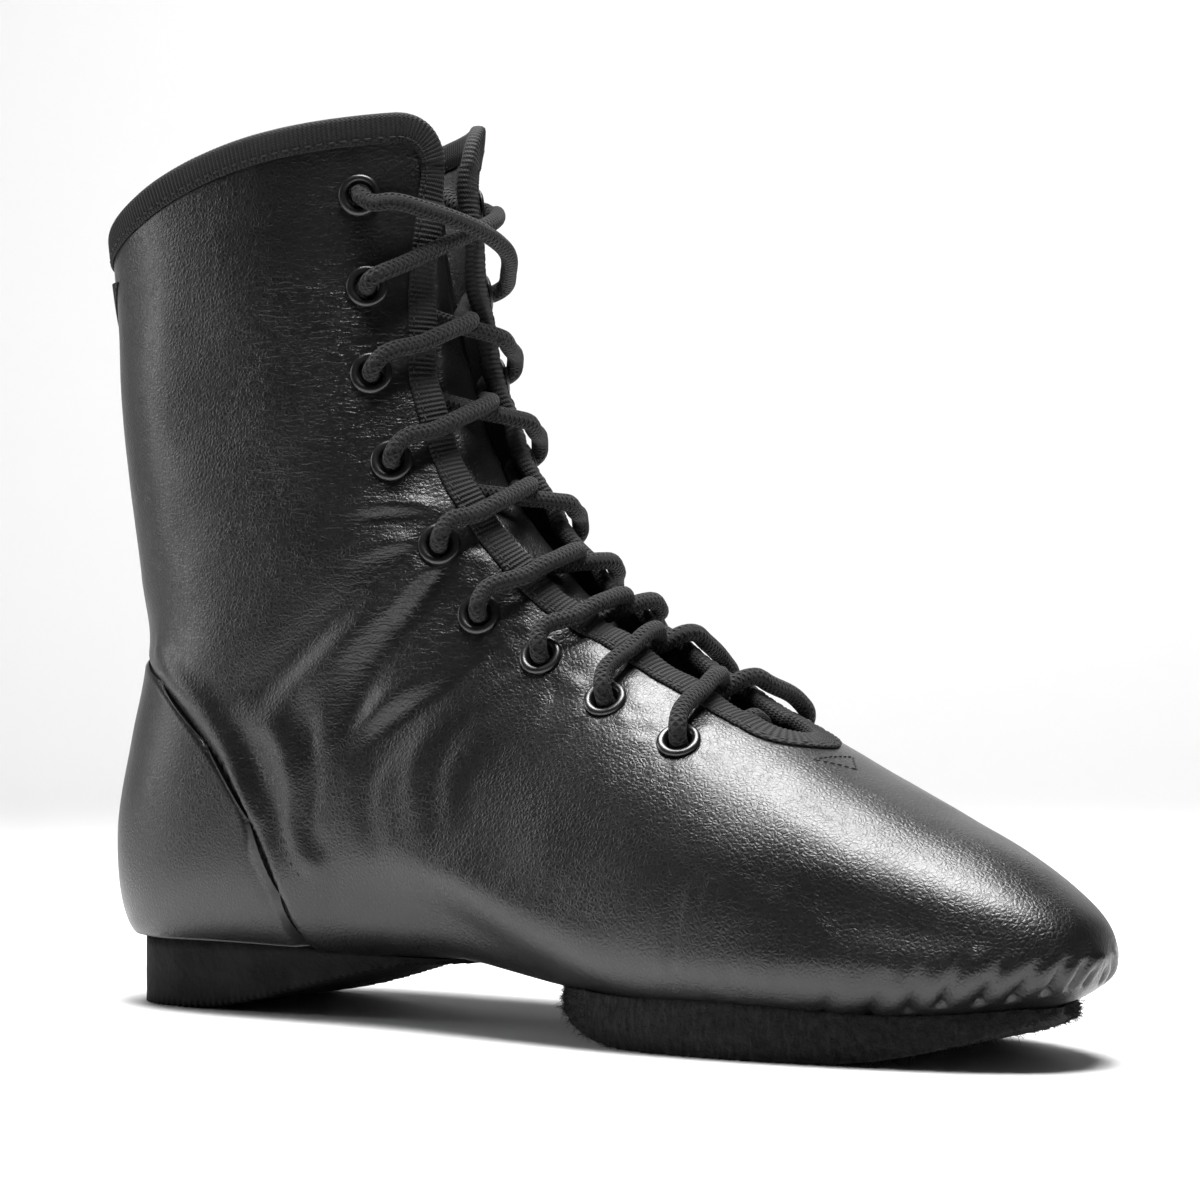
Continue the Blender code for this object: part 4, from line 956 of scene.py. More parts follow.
def flex_field(points, rows, turns):
    """1 where the leather is finely creased: the shaft's front half, its top and the ankle."""
    side = np.abs(turns)
    shaft = np.exp(-((rows - 4.0) / 2.6) ** 2) * np.exp(-((side - 0.36) / 0.26) ** 2)
    top = np.exp(-((rows - 1.6) / 1.3) ** 2) * np.exp(-((side - 0.30) / 0.12) ** 2) * 0.9
    ankle = np.exp(-((rows - 6.6) / 1.6) ** 2) * np.exp(-((side - 0.30) / 0.12) ** 2)
    blotch = noise(points, 16 * MM, 9)
    return np.clip((shaft + top + ankle) * (0.35 + 1.1 * blotch) - 0.12, 0, 1)


flexed = flex_field(outer, rows[:, None] + 0 * turns, (turns + 1) % 2 - 1)
add_field(upper, "flexed", np.concatenate([flexed.ravel(), np.zeros(down_c * across_c)]))
print("upper:", triangles(upper), "triangles before the holes; row spacing, mm:",
      round(1000 * np.linalg.norm(np.diff(outer[:, 60], axis=0), axis=1).mean(), 2))


# %% Holes for the eyelets
def frame_at(normal):
    """Two directions square to a normal."""
    first = np.cross(normal, [0.0, 1.0, 0.0])
    first /= np.linalg.norm(first)
    return first, np.cross(normal, first)


def eyelet_seat(side, number):
    """Centre of an eyelet on the leather, and its axis."""
    return leather(SPOTS[side][0][number], SPOTS[side][1][number])


HOLE_RADIUS = 3.1 * MM
HOLE_SIDES = 20
drills = []
for side in (-1, 1):
    for number in range(EYELETS):
        centre, axis = eyelet_seat(side, number)
        path = centre + axis * np.linspace(-4 * MM, 3 * MM, 4)[:, None]
        points, quads, caps, _ = tube(path, HOLE_RADIUS, HOLE_SIDES)
        shift = len(drills) * len(points)
        drills.append((points, quads + shift, caps + shift))
points, quads, caps = (np.concatenate(parts) for parts in zip(*drills))
drill = make_mesh("drill", points, [quads, caps], LEATHER)
cut = upper.modifiers.new("holes", "BOOLEAN")
cut.operation, cut.solver, cut.object = "DIFFERENCE", "EXACT", drill
holed = upper.evaluated_get(bpy.context.evaluated_depsgraph_get())
finished = bpy.data.meshes.new_from_object(holed)
upper.modifiers.clear()
upper.data = finished
bpy.data.objects.remove(drill)
dress(upper, "black_leather", "upper")

# %% [markdown]
# The heel counter is a stiffened cap of smooth leather round the back of the heel. Its front edge
# is the slanting seam. At each height the cap runs from the near seam, round the back, to the far
# seam, so its grid is made of level lines of the boot's own surface.

# %% Level lines of the heel
def level_map(levels, columns, first, last):
    """Row at which each turn column reaches each height, between two rows."""
    rows = np.linspace(first, last, 260)
    heights = look_up(rows[:, None], columns[None, :])[0][..., 2]
    out = np.zeros((len(levels), len(columns)))
    for j in range(len(columns)):
        falling = np.minimum.accumulate(heights[:, j])
        out[:, j] = np.interp(-levels, -falling, rows)
    return out


def wrap_sheet(name, rows, turns, high, low, finish):
    """A closed thin sheet over a grid of rows and turns, between two lifts above the leather."""
    base, normal = leather(rows, turns)
    outer = base + normal * high[..., None]
    inner = base + normal * low[..., None]
    down, across = rows.shape
    steps_down = np.linalg.norm(np.diff(outer, axis=0), axis=-1)
    steps_beside = np.linalg.norm(np.diff(outer, axis=1), axis=-1)
    along = np.concatenate([np.zeros((1, across)), np.cumsum(steps_down, 0)])
    beside = np.concatenate([np.zeros((down, 1)), np.cumsum(steps_beside, 1)], 1)
    centre = beside[:, across // 2:across // 2 + 1]
    uv = np.stack([beside - centre, along], -1).reshape(-1, 2)
    return closed_sheet(name, outer, inner, finish, uv=np.concatenate([uv, uv]))


# %% Heel counter
COUNTER_LIFT = 1.1 * MM
COUNTER_TOP, COUNTER_BOTTOM = HEEL_THICK + SEAM_ROWS[[0, -1], 1] * INSTEP_HEIGHT
levels = np.linspace(COUNTER_TOP, COUNTER_BOTTOM, 120)
columns = np.linspace(-0.42, -1.58, 320)
row_map = level_map(levels, columns, 4.2, 11.6)
x_map = look_up(row_map, columns[None, :])[0][..., 0]
seam_z = HEEL_THICK + SEAM_ROWS[::-1, 1] * INSTEP_HEIGHT
seam_x = np.interp(levels, seam_z, SEAM_ROWS[::-1, 0] * LENGTH) - CENTRE_X
middle = len(columns) // 2
share = np.linspace(0, 1, 241)
turns, rows = np.zeros((2, len(levels), len(share)))
for k in range(len(levels)):
    near_turn = np.interp(-seam_x[k], -x_map[k, :middle], columns[:middle])
    far_turn = np.interp(seam_x[k], x_map[k, middle:], columns[middle:])
    turns[k] = near_turn + (far_turn - near_turn) * share
    rows[k] = np.interp(-turns[k], -columns, row_map[k])
spots = look_up(rows, turns)[0]
from_seam = np.abs(seam_gap(spots))
from_top = spots[..., 2].max() - spots[..., 2]
edge = np.minimum(from_seam, from_top)
lift = COUNTER_LIFT * (1 - np.clip(1 - edge / (1.3 * MM), 0, 1) ** 2) ** 0.5
counter = wrap_sheet("heel_counter_cap", rows, turns, lift + 0.05 * MM, 0 * lift + 0.02 * MM,
                     COUNTER_LEATHER)
dress(counter, "counter_leather", "heel_counter")

# %% [markdown]
# Up the back runs a strip of stretch fabric, wider at the collar, so that the foot can slide in.
# It is made the same way as the counter: level lines of the boot, each as wide as the strip is
# there.

# %% Stretch gore
gore_z = HEEL_THICK + INSTEP_HEIGHT + GORE_ROWS[:, 0] * SHAFT_HEIGHT
levels = np.linspace(gore_z[-1], gore_z[0], 170)
half = np.interp(levels, gore_z, GORE_ROWS[:, 1] * GORE_WIDTH)
columns = np.linspace(-0.70, -1.30, 160)
row_map = level_map(levels, columns, 0.0, 5.4)
y_map = look_up(row_map, columns[None, :])[0][..., 1]
share = np.linspace(-1, 1, 61)
turns, rows = np.zeros((2, len(levels), len(share)))
for k in range(len(levels)):
    turns[k] = np.interp(share * half[k], y_map[k], columns)
    rows[k] = np.interp(-turns[k], -columns, row_map[k])
lift = 0.55 * MM * (1 - np.abs(share)[None, :] ** 8) + 0 * rows
gore = wrap_sheet("back_gore_strip", rows, turns, lift + 0.25 * MM, 0 * lift + 0.1 * MM, GORE)
dress(gore, "stretch_fabric", "back_gore")

# %% [markdown]
# One length of woven tape is folded over the whole open edge: up the near side of the throat,
# round the collar and down the far side. A folded strip is a profile carried along a path. Its
# ribs are real waves in the mesh, because they show at the outline, and the threads are bump.

# %% Edge tape
TAPE_STEP = 0.262 * MM


def open_edge(samples=3000):
    """Row, turn and length along the open edge, closed at the throat's end, in even steps."""
    share = (1 - np.cos(np.pi * np.linspace(0, 1, samples))) / 2
    down = THROAT_END * share[::-1]
    near = np.stack([down, throat_edge(down, -1)], -1)
    start, stop = throat_edge(np.zeros(1), -1)[0], -2 + throat_edge(np.zeros(1), 1)[0]
    collar = np.stack([np.zeros(samples), np.linspace(start, stop, samples)], -1)
    down = THROAT_END * share
    far = np.stack([down, throat_edge(down, 1) - 2], -1)
    marks = np.concatenate([near, collar[1:], far[1:]])
    along = run_length(look_up(marks[:, 0], marks[:, 1])[0])
    wanted = np.linspace(0, along[-1], int(round(along[-1] / TAPE_STEP)), endpoint=False)
    return [np.interp(wanted, along, marks[:, axis]) for axis in (0, 1)] + [wanted]


edge_rows, edge_turns, along = open_edge()
edge, outward = leather(edge_rows, edge_turns)
by_row, by_turn = look_up(edge_rows, edge_turns)[2:]
ahead = np.roll(edge, -6, axis=0) - np.roll(edge, 6, axis=0)
ahead /= np.linalg.norm(ahead, axis=1, keepdims=True)
inward = np.cross(outward, ahead)
inward /= np.linalg.norm(inward, axis=1, keepdims=True)


def lap_spots(distance):
    """Row and turn a distance inward from each point of the edge, by the surface's slopes."""
    rr = (by_row * by_row).sum(-1)
    tt = (by_turn * by_turn).sum(-1)
    rt = (by_row * by_turn).sum(-1)
    a, b = (by_row * inward).sum(-1) * distance, (by_turn * inward).sum(-1) * distance
    det = rr * tt - rt * rt
    lap_rows = edge_rows + (tt * a - rt * b) / det
    return np.maximum(lap_rows, 0.0), edge_turns + (rr * b - rt * a) / det


def lap_place(distance, height):
    """Points a distance in from the edge, at a height above the leather."""
    if distance <= 0.4 * MM:
        return edge + inward * distance + outward * height
    at, normal = leather(*lap_spots(distance))
    return at + normal * height


# Distance in from the edge and height above the leather, in millimetres, once round the fold
FOLD = [(5.60, 0.10), (5.66, 0.42), (5.30, 0.66), (4.85, 0.70), (4.45, 0.52), (4.05, 0.70),
        (3.0, 0.76), (1.6, 0.80), (0.3, 0.82), (-0.45, 0.66), (-0.85, 0.05), (-0.95, -0.80),
        (-0.85, -1.65), (-0.45, -2.22), (0.3, -2.42), (2.6, -2.40), (5.5, -2.30), (5.55, -1.78),
        (2.6, -1.72), (0.1, -1.68), (-0.25, -0.80), (0.1, 0.05), (2.6, 0.06)]
RIB_HEIGHT = 0.085 * MM
ribs = RIB_HEIGHT * np.sin(2 * np.pi * along / TAPE_RIB)
rings = []
for distance, height in FOLD:
    ridged = distance > -1 and (height > 0.3 or distance < -0.3)
    rings.append(lap_place(distance * MM, height * MM + (ribs[:, None] if ridged else 0.0)))
rings = np.stack(rings, 1)
round_it = run_length(np.array(FOLD)) * MM
uv = np.stack(np.broadcast_arrays(along[:, None], round_it[None, :]), -1)
quads = grid_quads(*rings.shape[:2], wrap_down=True, wrap_across=True)
tape = make_mesh("edge_tape", rings, quads, TAPE, uv=uv)
dress(turn_outward(tape), "woven_tape", "edge_binding")
print("edge length, mm:", round(1000 * along[-1], 1))

# %% [markdown]
# Stitches are short arched capsules. One small template is copied to every place at once with
# arrays, so hundreds of them cost little.

# %% Stitches
def repeated(name, points, faces, finish):
    """One piece of many copies: points by copy, and the template's faces shifted for each."""
    shift = (np.arange(len(points)) * points[0].size // 3)[:, None, None]
    faces = [(part[None] + shift).reshape(-1, part.shape[1]) for part in faces]
    return turn_outward(make_mesh(name, points, faces, finish))


def stitches(name, centres, along_it, up, length, radius):
    """Capsules at centres: the template's axes are turned to along_it, sideways and up."""
    rings, sides = 7, 6
    x = np.linspace(-0.5, 0.5, rings)[:, None]
    swell = np.sqrt(np.clip(1 - (2 * x) ** 6, 0.04, 1))
    angles = np.linspace(0, 2 * np.pi, sides, endpoint=False)
    height = swell * np.sin(angles) * radius - (x * 2) ** 4 * radius * 0.9
    local = np.stack(np.broadcast_arrays(x * length, swell * np.cos(angles) * radius, height), -1)
    along_it = along_it / np.linalg.norm(along_it, axis=1, keepdims=True)
    beside = np.cross(up, along_it)
    beside /= np.linalg.norm(beside, axis=1, keepdims=True)
    axes = np.stack([along_it, beside, np.cross(along_it, beside)], 1)
    points = centres[:, None] + np.einsum("vk,nkc->nvc", local.reshape(-1, 3), axes)
    index = np.arange(rings * sides)
    ends = np.array([index[:sides][::-1], index[-sides:]])
    return repeated(name, points, [grid_quads(rings, sides, wrap_across=True), ends], THREAD)


def sewn_line(path, pitch, height):
    """Centres, directions and outward axes every pitch along a path of rows and turns."""
    marks = blend(np.array(path), np.linspace(0, len(path) - 1, 400))
    along = run_length(look_up(marks[:, 0], marks[:, 1])[0])
    wanted = np.arange(pitch / 2, along[-1], pitch)
    rows, turns = (np.interp(wanted, along, marks[:, axis]) for axis in (0, 1))
    at, normal = leather(rows, turns)
    return at + normal * height, np.gradient(at, axis=0), normal


pick = np.arange(5, len(along), 10)
centres = lap_place(4.45 * MM, 0.66 * MM)
run = np.roll(centres, -4, 0) - np.roll(centres, 4, 0)
tape_thread = stitches("tape_stitches", centres[pick], run[pick], outward[pick], 1.75 * MM,
                       0.24 * MM)
dress(tape_thread, "woven_tape")

COUNTER_LINE = [(8.18, -.547), (9.0, -.556), (9.6, -.575), (10.48, -.663)]
lines = [sewn_line(COUNTER_LINE, 2.6 * MM, -0.02 * MM)]
TRIANGLE = [(14.43, -.088), (14.55, .025), (14.88, -.023)]
for a, b in zip(TRIANGLE, TRIANGLE[1:] + TRIANGLE[:1]):
    lines.append(sewn_line([a, b], 1.5 * MM, 0.05 * MM))
sewn = [np.concatenate(parts) for parts in zip(*lines)]
seam_thread = stitches("seam_stitches", *sewn, 1.2 * MM, 0.17 * MM)
dress(seam_thread, "black_leather")

# %% [markdown]
# Each eyelet is a metal ring in black enamel: a rolled flange outside, and a short barrel through
# the leather. It is a profile turned round the eyelet's axis. The flange is round in section,
# because the real one catches a fine highlight all the way round.

# %% Eyelets
def eyelet_profile():
    """Radius and height once round the ring's section: rolled flange, bore, barrel, underside."""
    roll = np.linspace(0, np.pi, 11)
    flange = np.stack([3.62 + 0.88 * np.cos(roll), 0.20 + 0.72 * np.sin(roll)], -1)
    bore = np.array([(2.62, 0.02), (2.52, -0.3), (2.50, -0.9), (2.50, -1.8), (2.62, -2.1),
                     (2.95, -2.1), (2.98, -1.2), (2.98, -0.2), (3.3, 0.0), (4.1, 0.0),
                     (4.42, 0.05)])
    return np.concatenate([flange, bore]) * MM


PROFILE = eyelet_profile()
angles = np.linspace(0, 2 * np.pi, 44, endpoint=False)[:, None]
SEATS = {}
for side, word in ((-1, "near"), (1, "far")):
    for number in range(EYELETS):
        centre, axis = eyelet_seat(side, number)
        centre = centre + axis * 0.2 * MM
        SEATS[side, number] = (centre, axis)
        first, second = frame_at(axis)
        circle = np.cos(angles) * first + np.sin(angles) * second
        rings = centre + PROFILE[:, 0, None, None] * circle + PROFILE[:, 1, None, None] * axis
        quads = grid_quads(*rings.shape[:2], wrap_down=True, wrap_across=True)
        ring = make_mesh(f"eyelet_ring_{word}_{number + 1}", rings, quads, ENAMEL)
        dress(turn_outward(ring), "black_enamel", f"eyelet_{word}_{number + 1}")

# %% [markdown]
# The tongue is one flap of grained leather under the lacing. It swells up a little in the gap,
# and lies deeper under the facings, where the lace presses it down.

# %% Tongue
def tongue_depth(rows, turns):
    """Depth under the last: deeper under the facings and at its free top, with soft folds."""
    side = np.where(turns < 0, -1, 1)
    edge = np.where(side < 0, np.abs(throat_edge(rows, -1)), np.abs(throat_edge(rows, 1)))
    length = np.where(side < 0, half_length(rows, -1), half_length(rows, 1))
    swell = np.clip(((edge - np.abs(turns)) * length + 1.0 * MM) / (7 * MM), 0, 1)
    swell = swell * swell * (3 - 2 * swell)
    depth = 6.9 * MM - 2.5 * MM * swell + 5.0 * MM * np.clip(1 - rows / 2.2, 0, 1) ** 2
    points = look_up(rows, turns)[0]
    broad, fine = noise(points, 12 * MM, 21) - 0.5, noise(points, 5 * MM, 22) - 0.5
    return depth - broad * 1.4 * MM - fine * 0.5 * MM


rows = np.linspace(0.5, 14.7, 300)[:, None]
spread = np.linspace(-1, 1, 71)[None, :]
reach = [(THROAT_GAP * np.interp(rows, THROAT[:, 0], THROAT[:, column]) + 8.5 * MM)
         / half_length(rows, side) for column, side in ((1, -1), (2, 1))]
turns = np.where(spread < 0, spread * reach[0], spread * reach[1])
rows = np.broadcast_to(rows, turns.shape)
points, normal = look_up(rows, turns)[:2]
depth = tongue_depth(rows, turns)
outer = points - normal * depth[..., None]
inner = points - normal * (depth + 1.3 * MM)[..., None]
tongue = closed_sheet("tongue_flap", outer, inner, TONGUE_LEATHER)
dress(tongue, "lining_leather", "tongue")

# %% [markdown]
# The insole is a thin sock that follows the inside of the sole.

# %% Insole
rows = np.linspace(INSOLE_ROWS[0, 0], INSOLE_ROWS[-1, 0], 150)[:, None]
spread = np.linspace(-1, 1, 41)[None, :]
reach = np.interp(rows, INSOLE_ROWS[:, 0], INSOLE_ROWS[:, 1]) * BALL_WIDTH
turns = 1 + spread * reach / half_length(rows, -1)
rows = np.broadcast_to(rows, turns.shape)
points, normal = look_up(rows, turns)[:2]
crown = 0.4 * MM * (1 - spread**2) + (noise(points, 14 * MM, 31) - 0.5) * 0.3 * MM
outer = points - normal * (WALL + 2.3 * MM + crown)[..., None]
inner = points - normal * (WALL + 0.5 * MM)
insole = closed_sheet("insole_sock", outer, inner, LINING)
dress(insole, "lining_leather", "insole")

# %% [markdown]
# Both sole pieces are rings across the foot, carried from back to front: the top follows the
# underside of the leather, and the lower face is level where the boot stands. The heel pad is
# ribbed rubber, and the forefoot is a thick patch of suede whose cut edge frays.

# %% Underside of the leather
UNDER_TURNS = np.linspace(0.45, 1.55, 111)
UNDER_ROWS = np.linspace(7, LAST_ROW, 400)
UNDER, UNDER_OUT = look_up(UNDER_ROWS[:, None], UNDER_TURNS[None, :])[:2]
UNDER = UNDER + UNDER_OUT * 0.25 * MM


def underside(x, y):
    """Height of the leather's underside: column by column at each x, then across at each y."""
    columns_y, columns_z = (
        np.stack([np.interp(x, np.maximum.accumulate(UNDER[:, k, 0]), UNDER[:, k, axis])
                  for k in range(len(UNDER_TURNS))], -1) for axis in (1, 2))
    out = np.zeros_like(y)
    for i in range(len(x)):
        order = np.argsort(columns_y[i])
        out[i] = np.interp(y[i], columns_y[i][order], columns_z[i][order])
    return out


TOP_POINTS = 11


def sole_ring(x, near, far, centre, bottom, wall, under, bulge=0.0):
    """Rings of a sole piece: down the far wall, across below, up the near wall and back over."""
    y_far, y_near = centre + far, centre - near
    across_low = np.linspace(1, -1, under)[None, :]
    across_top = np.linspace(-1, 1, TOP_POINTS + 2)[None, 1:-1]

    def at_share(share):
        return centre[:, None] + np.where(share > 0, share * far[:, None], share * near[:, None])

    top_y = at_share(across_top)
    top_z = underside(x, top_y)
    down_share = np.linspace(0, 1, wall)[None, :-1]
    z_far, z_near = underside(x, y_far[:, None]), underside(x, y_near[:, None])
    low = bottom[:, None]
    belly = bulge * np.sin(np.pi * down_share) * np.minimum(1, near[:, None] / (6 * MM))
    far_wall = np.stack(np.broadcast_arrays(x[:, None], y_far[:, None] + belly,
                                            z_far + (low - z_far) * down_share), -1)
    z_up = low + (z_near - low) * (down_share + 1 / (wall - 1))
    y_up = y_near[:, None] - belly[:, ::-1]
    near_wall = np.stack(np.broadcast_arrays(x[:, None], y_up, z_up), -1)
    under_y = at_share(across_low)
    under_face = np.stack(np.broadcast_arrays(x[:, None], under_y, low + 0 * under_y), -1)
    top_face = np.stack(np.broadcast_arrays(x[:, None], top_y, top_z), -1)
    return np.concatenate([far_wall, under_face, near_wall, top_face], 1)


def ring_mesh(name, rings, finish):
    """A closed mesh from rings; the first and last close up by themselves."""
    down, across = rings.shape[:2]
    index = np.arange(down * across)
    caps = np.array([index[:across], index[-across:][::-1]])
    quads = grid_quads(down, across, wrap_across=True)
    return turn_outward(make_mesh(name, rings, [quads, caps], finish))


# %% Heel pad
share = (1 - np.cos(np.linspace(0.002, np.pi - 0.002, 420))) / 2
x = PAD_BACK + PAD_LENGTH * share - CENTRE_X
back_round = (1 - np.clip(1 - share / 0.28, 0, 1) ** 2.6) ** (1 / 2.6)
front_round = (1 - np.clip((share - 0.35) / 0.65, 0, 1) ** 2.2) ** (1 / 2.2)
half = PAD_WIDTH / 2 * back_round * front_round
climb = np.clip((share - 0.24) / 0.76, 0, 1)
bottom = (HEEL_THICK + PAD_RISE) * (3 * climb**2 - 2 * climb**3)
bottom = np.minimum(bottom, underside(x, np.zeros((len(x), 1)))[:, 0] - 0.9 * MM)
PAD_WALL, PAD_UNDER = 7, 31
rings = sole_ring(x, half, half, 0 * half, bottom, PAD_WALL, PAD_UNDER)
RIB_PITCH, RIB_DEPTH = 1.75 * MM, 0.85 * MM
tooth = np.abs((x / RIB_PITCH) % 1.0 - 0.5) * 2
shallow = np.clip((share - 0.12) / 0.1, 0.25, 1)
tread = RIB_DEPTH * tooth * shallow * np.clip(half / (5 * MM), 0, 1)
rings[:, PAD_WALL - 2:PAD_WALL - 1 + PAD_UNDER, 2] += tread[:, None]
grit = noise(rings, 1.6 * MM, 41) - 0.5
rings[:, :, 1] += grit * 0.22 * MM * np.sign(rings[:, :, 1])
pad = ring_mesh("heel_pad_rubber", rings, RUBBER)
dress(pad, "pad_rubber", "heel_pad")

# %% Forefoot patch
place = np.linspace(0, len(PATCH_ROWS) - 1, 620)
fine = blend(PATCH_ROWS, place)
x = fine[:, 0] * LENGTH - CENTRE_X
near, far = np.maximum(fine[:, 1:3], 0).T * PATCH_WIDTH
centre = fine[:, 3] * PATCH_WIDTH
LEVEL_BACK, LEVEL_FRONT = 0.620, 0.785
behind = np.clip((LEVEL_BACK - fine[:, 0]) / (LEVEL_BACK - fine[0, 0]), 0, 1)
before = np.clip((fine[:, 0] - LEVEL_FRONT) / (fine[-1, 0] - LEVEL_FRONT), 0, 1)
bottom = SOLE_THICK * (1.30 * behind**1.7 + 1.55 * before**1.8)
ends = (1.8 * np.clip(1 - place / 2.2, 0, 1) ** 1.3
        + 2.6 * np.clip(1 - (len(PATCH_ROWS) - 1 - place) / 3.2, 0, 1) ** 1.3)
bottom = np.minimum(bottom + ends * MM, underside(x, centre[:, None])[:, 0] - 1.0 * MM)
PATCH_WALL, PATCH_UNDER, FRAY_IN = 11, 33, 4
rings = sole_ring(x, near, far, centre, bottom, PATCH_WALL, PATCH_UNDER, bulge=0.7 * MM)
frayed = np.ones(rings.shape[1])
frayed[PATCH_WALL - 1 + FRAY_IN:PATCH_WALL - 1 + PATCH_UNDER - FRAY_IN] = 0.0
frayed[-TOP_POINTS:] = 0.0
tuft = ((noise(rings, 1.3 * MM, 51) - 0.5) * 0.45 * MM
        + (noise(rings, 0.6 * MM, 52) - 0.5) * 0.45 * MM)
size = np.clip(near / (4 * MM), 0, 1)[:, None]
rings[:, :, 1] += tuft * frayed * size * np.sign(rings[:, :, 1] - centre[:, None])
rings[:, :, 2] += np.abs(noise(rings, 1.1 * MM, 53) - 0.5) * 0.5 * MM * frayed * size
patch = ring_mesh("forefoot_suede", rings, SUEDE)
dress(patch, "sole_suede", "forefoot_sole")


# %% [markdown]
# Fibres stand off the patch's cut edge. Each is a hair of three sides that bends, thins and
# wanders: thousands of them, all worked out as one array, give the soft black fringe that bump
# can't.

# %% Fibres of the frayed edge
def fibres(name, roots, directions, lengths, radius, seed, finish):
    """Curved three-sided hairs: root, two bends and a fine tip, all worked out as one array."""
    draw = np.random.default_rng(seed)
    directions = directions / np.linalg.norm(directions, axis=1, keepdims=True)
    bend = draw.normal(0, 0.45, roots.shape)
    share = np.array([0.0, 0.35, 0.7, 1.0])
    spine = (roots[:, None] + directions[:, None] * (lengths[:, None] * share)[..., None]
             + bend[:, None] * (lengths[:, None] * share**2)[..., None])
    side = np.cross(directions, draw.normal(0, 1, roots.shape))
    side /= np.linalg.norm(side, axis=1, keepdims=True)
    other = np.cross(directions, side)
    angles = np.linspace(0, 2 * np.pi, 3, endpoint=False)
    thick = radius * np.array([1.0, 0.85, 0.6, 0.25])
    ring = np.cos(angles)[:, None] * side[:, None] + np.sin(angles)[:, None] * other[:, None]
    points = spine[:, :, None] + ring[:, None] * thick[None, :, None, None]
    caps = np.array([[2, 1, 0], [9, 10, 11]])
    return repeated(name, points, [grid_quads(4, 3, wrap_across=True), caps], finish)


HAIRS = 5200
END_RINGS = 6
draw = np.random.default_rng(7)
flat = rings[END_RINGS:-END_RINGS, frayed > 0]
pick_i, pick_j = draw.integers(0, flat.shape[0], HAIRS), draw.integers(0, flat.shape[1], HAIRS)
roots = flat[pick_i, pick_j]
middle = np.stack([roots[:, 0] * 0.9, centre[END_RINGS:-END_RINGS][pick_i], roots[:, 2]], -1)
outwards = roots - middle
outwards /= np.maximum(np.linalg.norm(outwards, axis=1, keepdims=True), 1e-6)
wander = draw.normal(0, 0.55, roots.shape) + np.array([0.0, 0.0, -0.15])
fuzz = fibres("suede_fibres", roots - outwards * 0.15 * MM, outwards + wander,
              draw.uniform(0.5, 1.9, len(roots)) * MM, 0.07 * MM, 8, SUEDE)
places = np.zeros(len(fuzz.data.vertices) * 3, np.float32)
fuzz.data.vertices.foreach_get("co", places)
places[2::3] = np.maximum(places[2::3], 0.05 * MM)
fuzz.data.vertices.foreach_set("co", places)
dress(fuzz, "sole_suede")

# %% [markdown]
# The lace is one round braided cord. It starts as a straight bar behind the lowest pair of
# eyelets. From there each half comes out of an eyelet, lies over its own facing, crosses the gap,
# dips under the other facing and comes out of the next eyelet up. At the top pair both halves go
# in from outside and end behind the leather, so no knot shows. The path is a list of points over
# the leather, smoothed. Distances along it are in millimetres.

# %% Lace path
LACE_RADIUS, LACE_SIDES = 1.86 * MM, 16


def lean(start, stop, axis):
    """Direction from one point to another, flattened onto the leather at the first."""
    line = stop - start
    line = line - axis * (line @ axis)
    return line / np.linalg.norm(line)


def off(at, axis, up, go=0.0, far=0.0):
    """A point off an eyelet: up along its axis, and far along a direction, in millimetres."""
    return at + axis * up * MM + go * far * MM


def run_between(side, number, shares):
    """Rows and turns at shares of the way from an eyelet to the one above on the other side."""
    r0, t0 = SPOTS[side][0][number], SPOTS[side][1][number]
    r1, t1 = SPOTS[-side][0][number - 1], SPOTS[-side][1][number - 1]
    return r0 + (r1 - r0) * shares, t0 + (t1 - t0) * shares


def over_gap(side, number, shares, heights):
    """Points between an eyelet and the one above it on the other side, at heights over the last."""
    at, normal = look_up(*run_between(side, number, np.array(shares)))[:2]
    return at + normal * np.array(heights)[:, None] * MM


def gap_shares(side, number):
    """Shares of a strand at which it crosses its own throat edge and the other one."""
    q = np.linspace(0, 1, 400)
    rows, turns = run_between(side, number, q)
    own = np.abs(turns) > np.abs(throat_edge(rows, side))
    other = np.abs(turns) > np.abs(throat_edge(rows, -side))
    return q[np.argmax(~own | (turns * side < 0))], q[np.argmax(other & (turns * side < 0))]


def strand(side, number, above):
    """One strand: out of its eyelet, over its own facing, then under the facing across the gap."""
    centre, axis = SEATS[side, number]
    target, target_axis = SEATS[-side, number - 1]
    go, come = lean(centre, target, axis), lean(target, centre, target_axis)
    first, last = gap_shares(side, number)
    step = 2.4 / (np.linalg.norm(target - centre) / MM)
    rise = [off(centre, axis, -1.0), off(centre, axis, 1.3), off(centre, axis, 3.0, go, 1.2),
            off(centre, axis, 3.4, go, 3.6)]
    shares = [first * 0.78, first, first + step * 0.9, 0.5, last - step * 1.5, last, last + step]
    heights = ([3.0, 3.3, 3.0, 2.3, -2.6, -4.9, -5.0] if above
               else [3.0, 3.3, 2.2, -1.8, -4.2, -4.9, -5.0])
    tuck = [off(target, target_axis, -4.6, come, 3.2), off(target, target_axis, -3.4, come, 0.9)]
    return np.concatenate([rise, over_gap(side, number, shares, heights), tuck])


def chain(side):
    """The strands of one half, from the lowest eyelet of a side to the second on the other."""
    parts = []
    for number in range(EYELETS - 1, 1, -1):
        parts.append(strand(side, number, side < 0))
        side = -side
    return parts, side


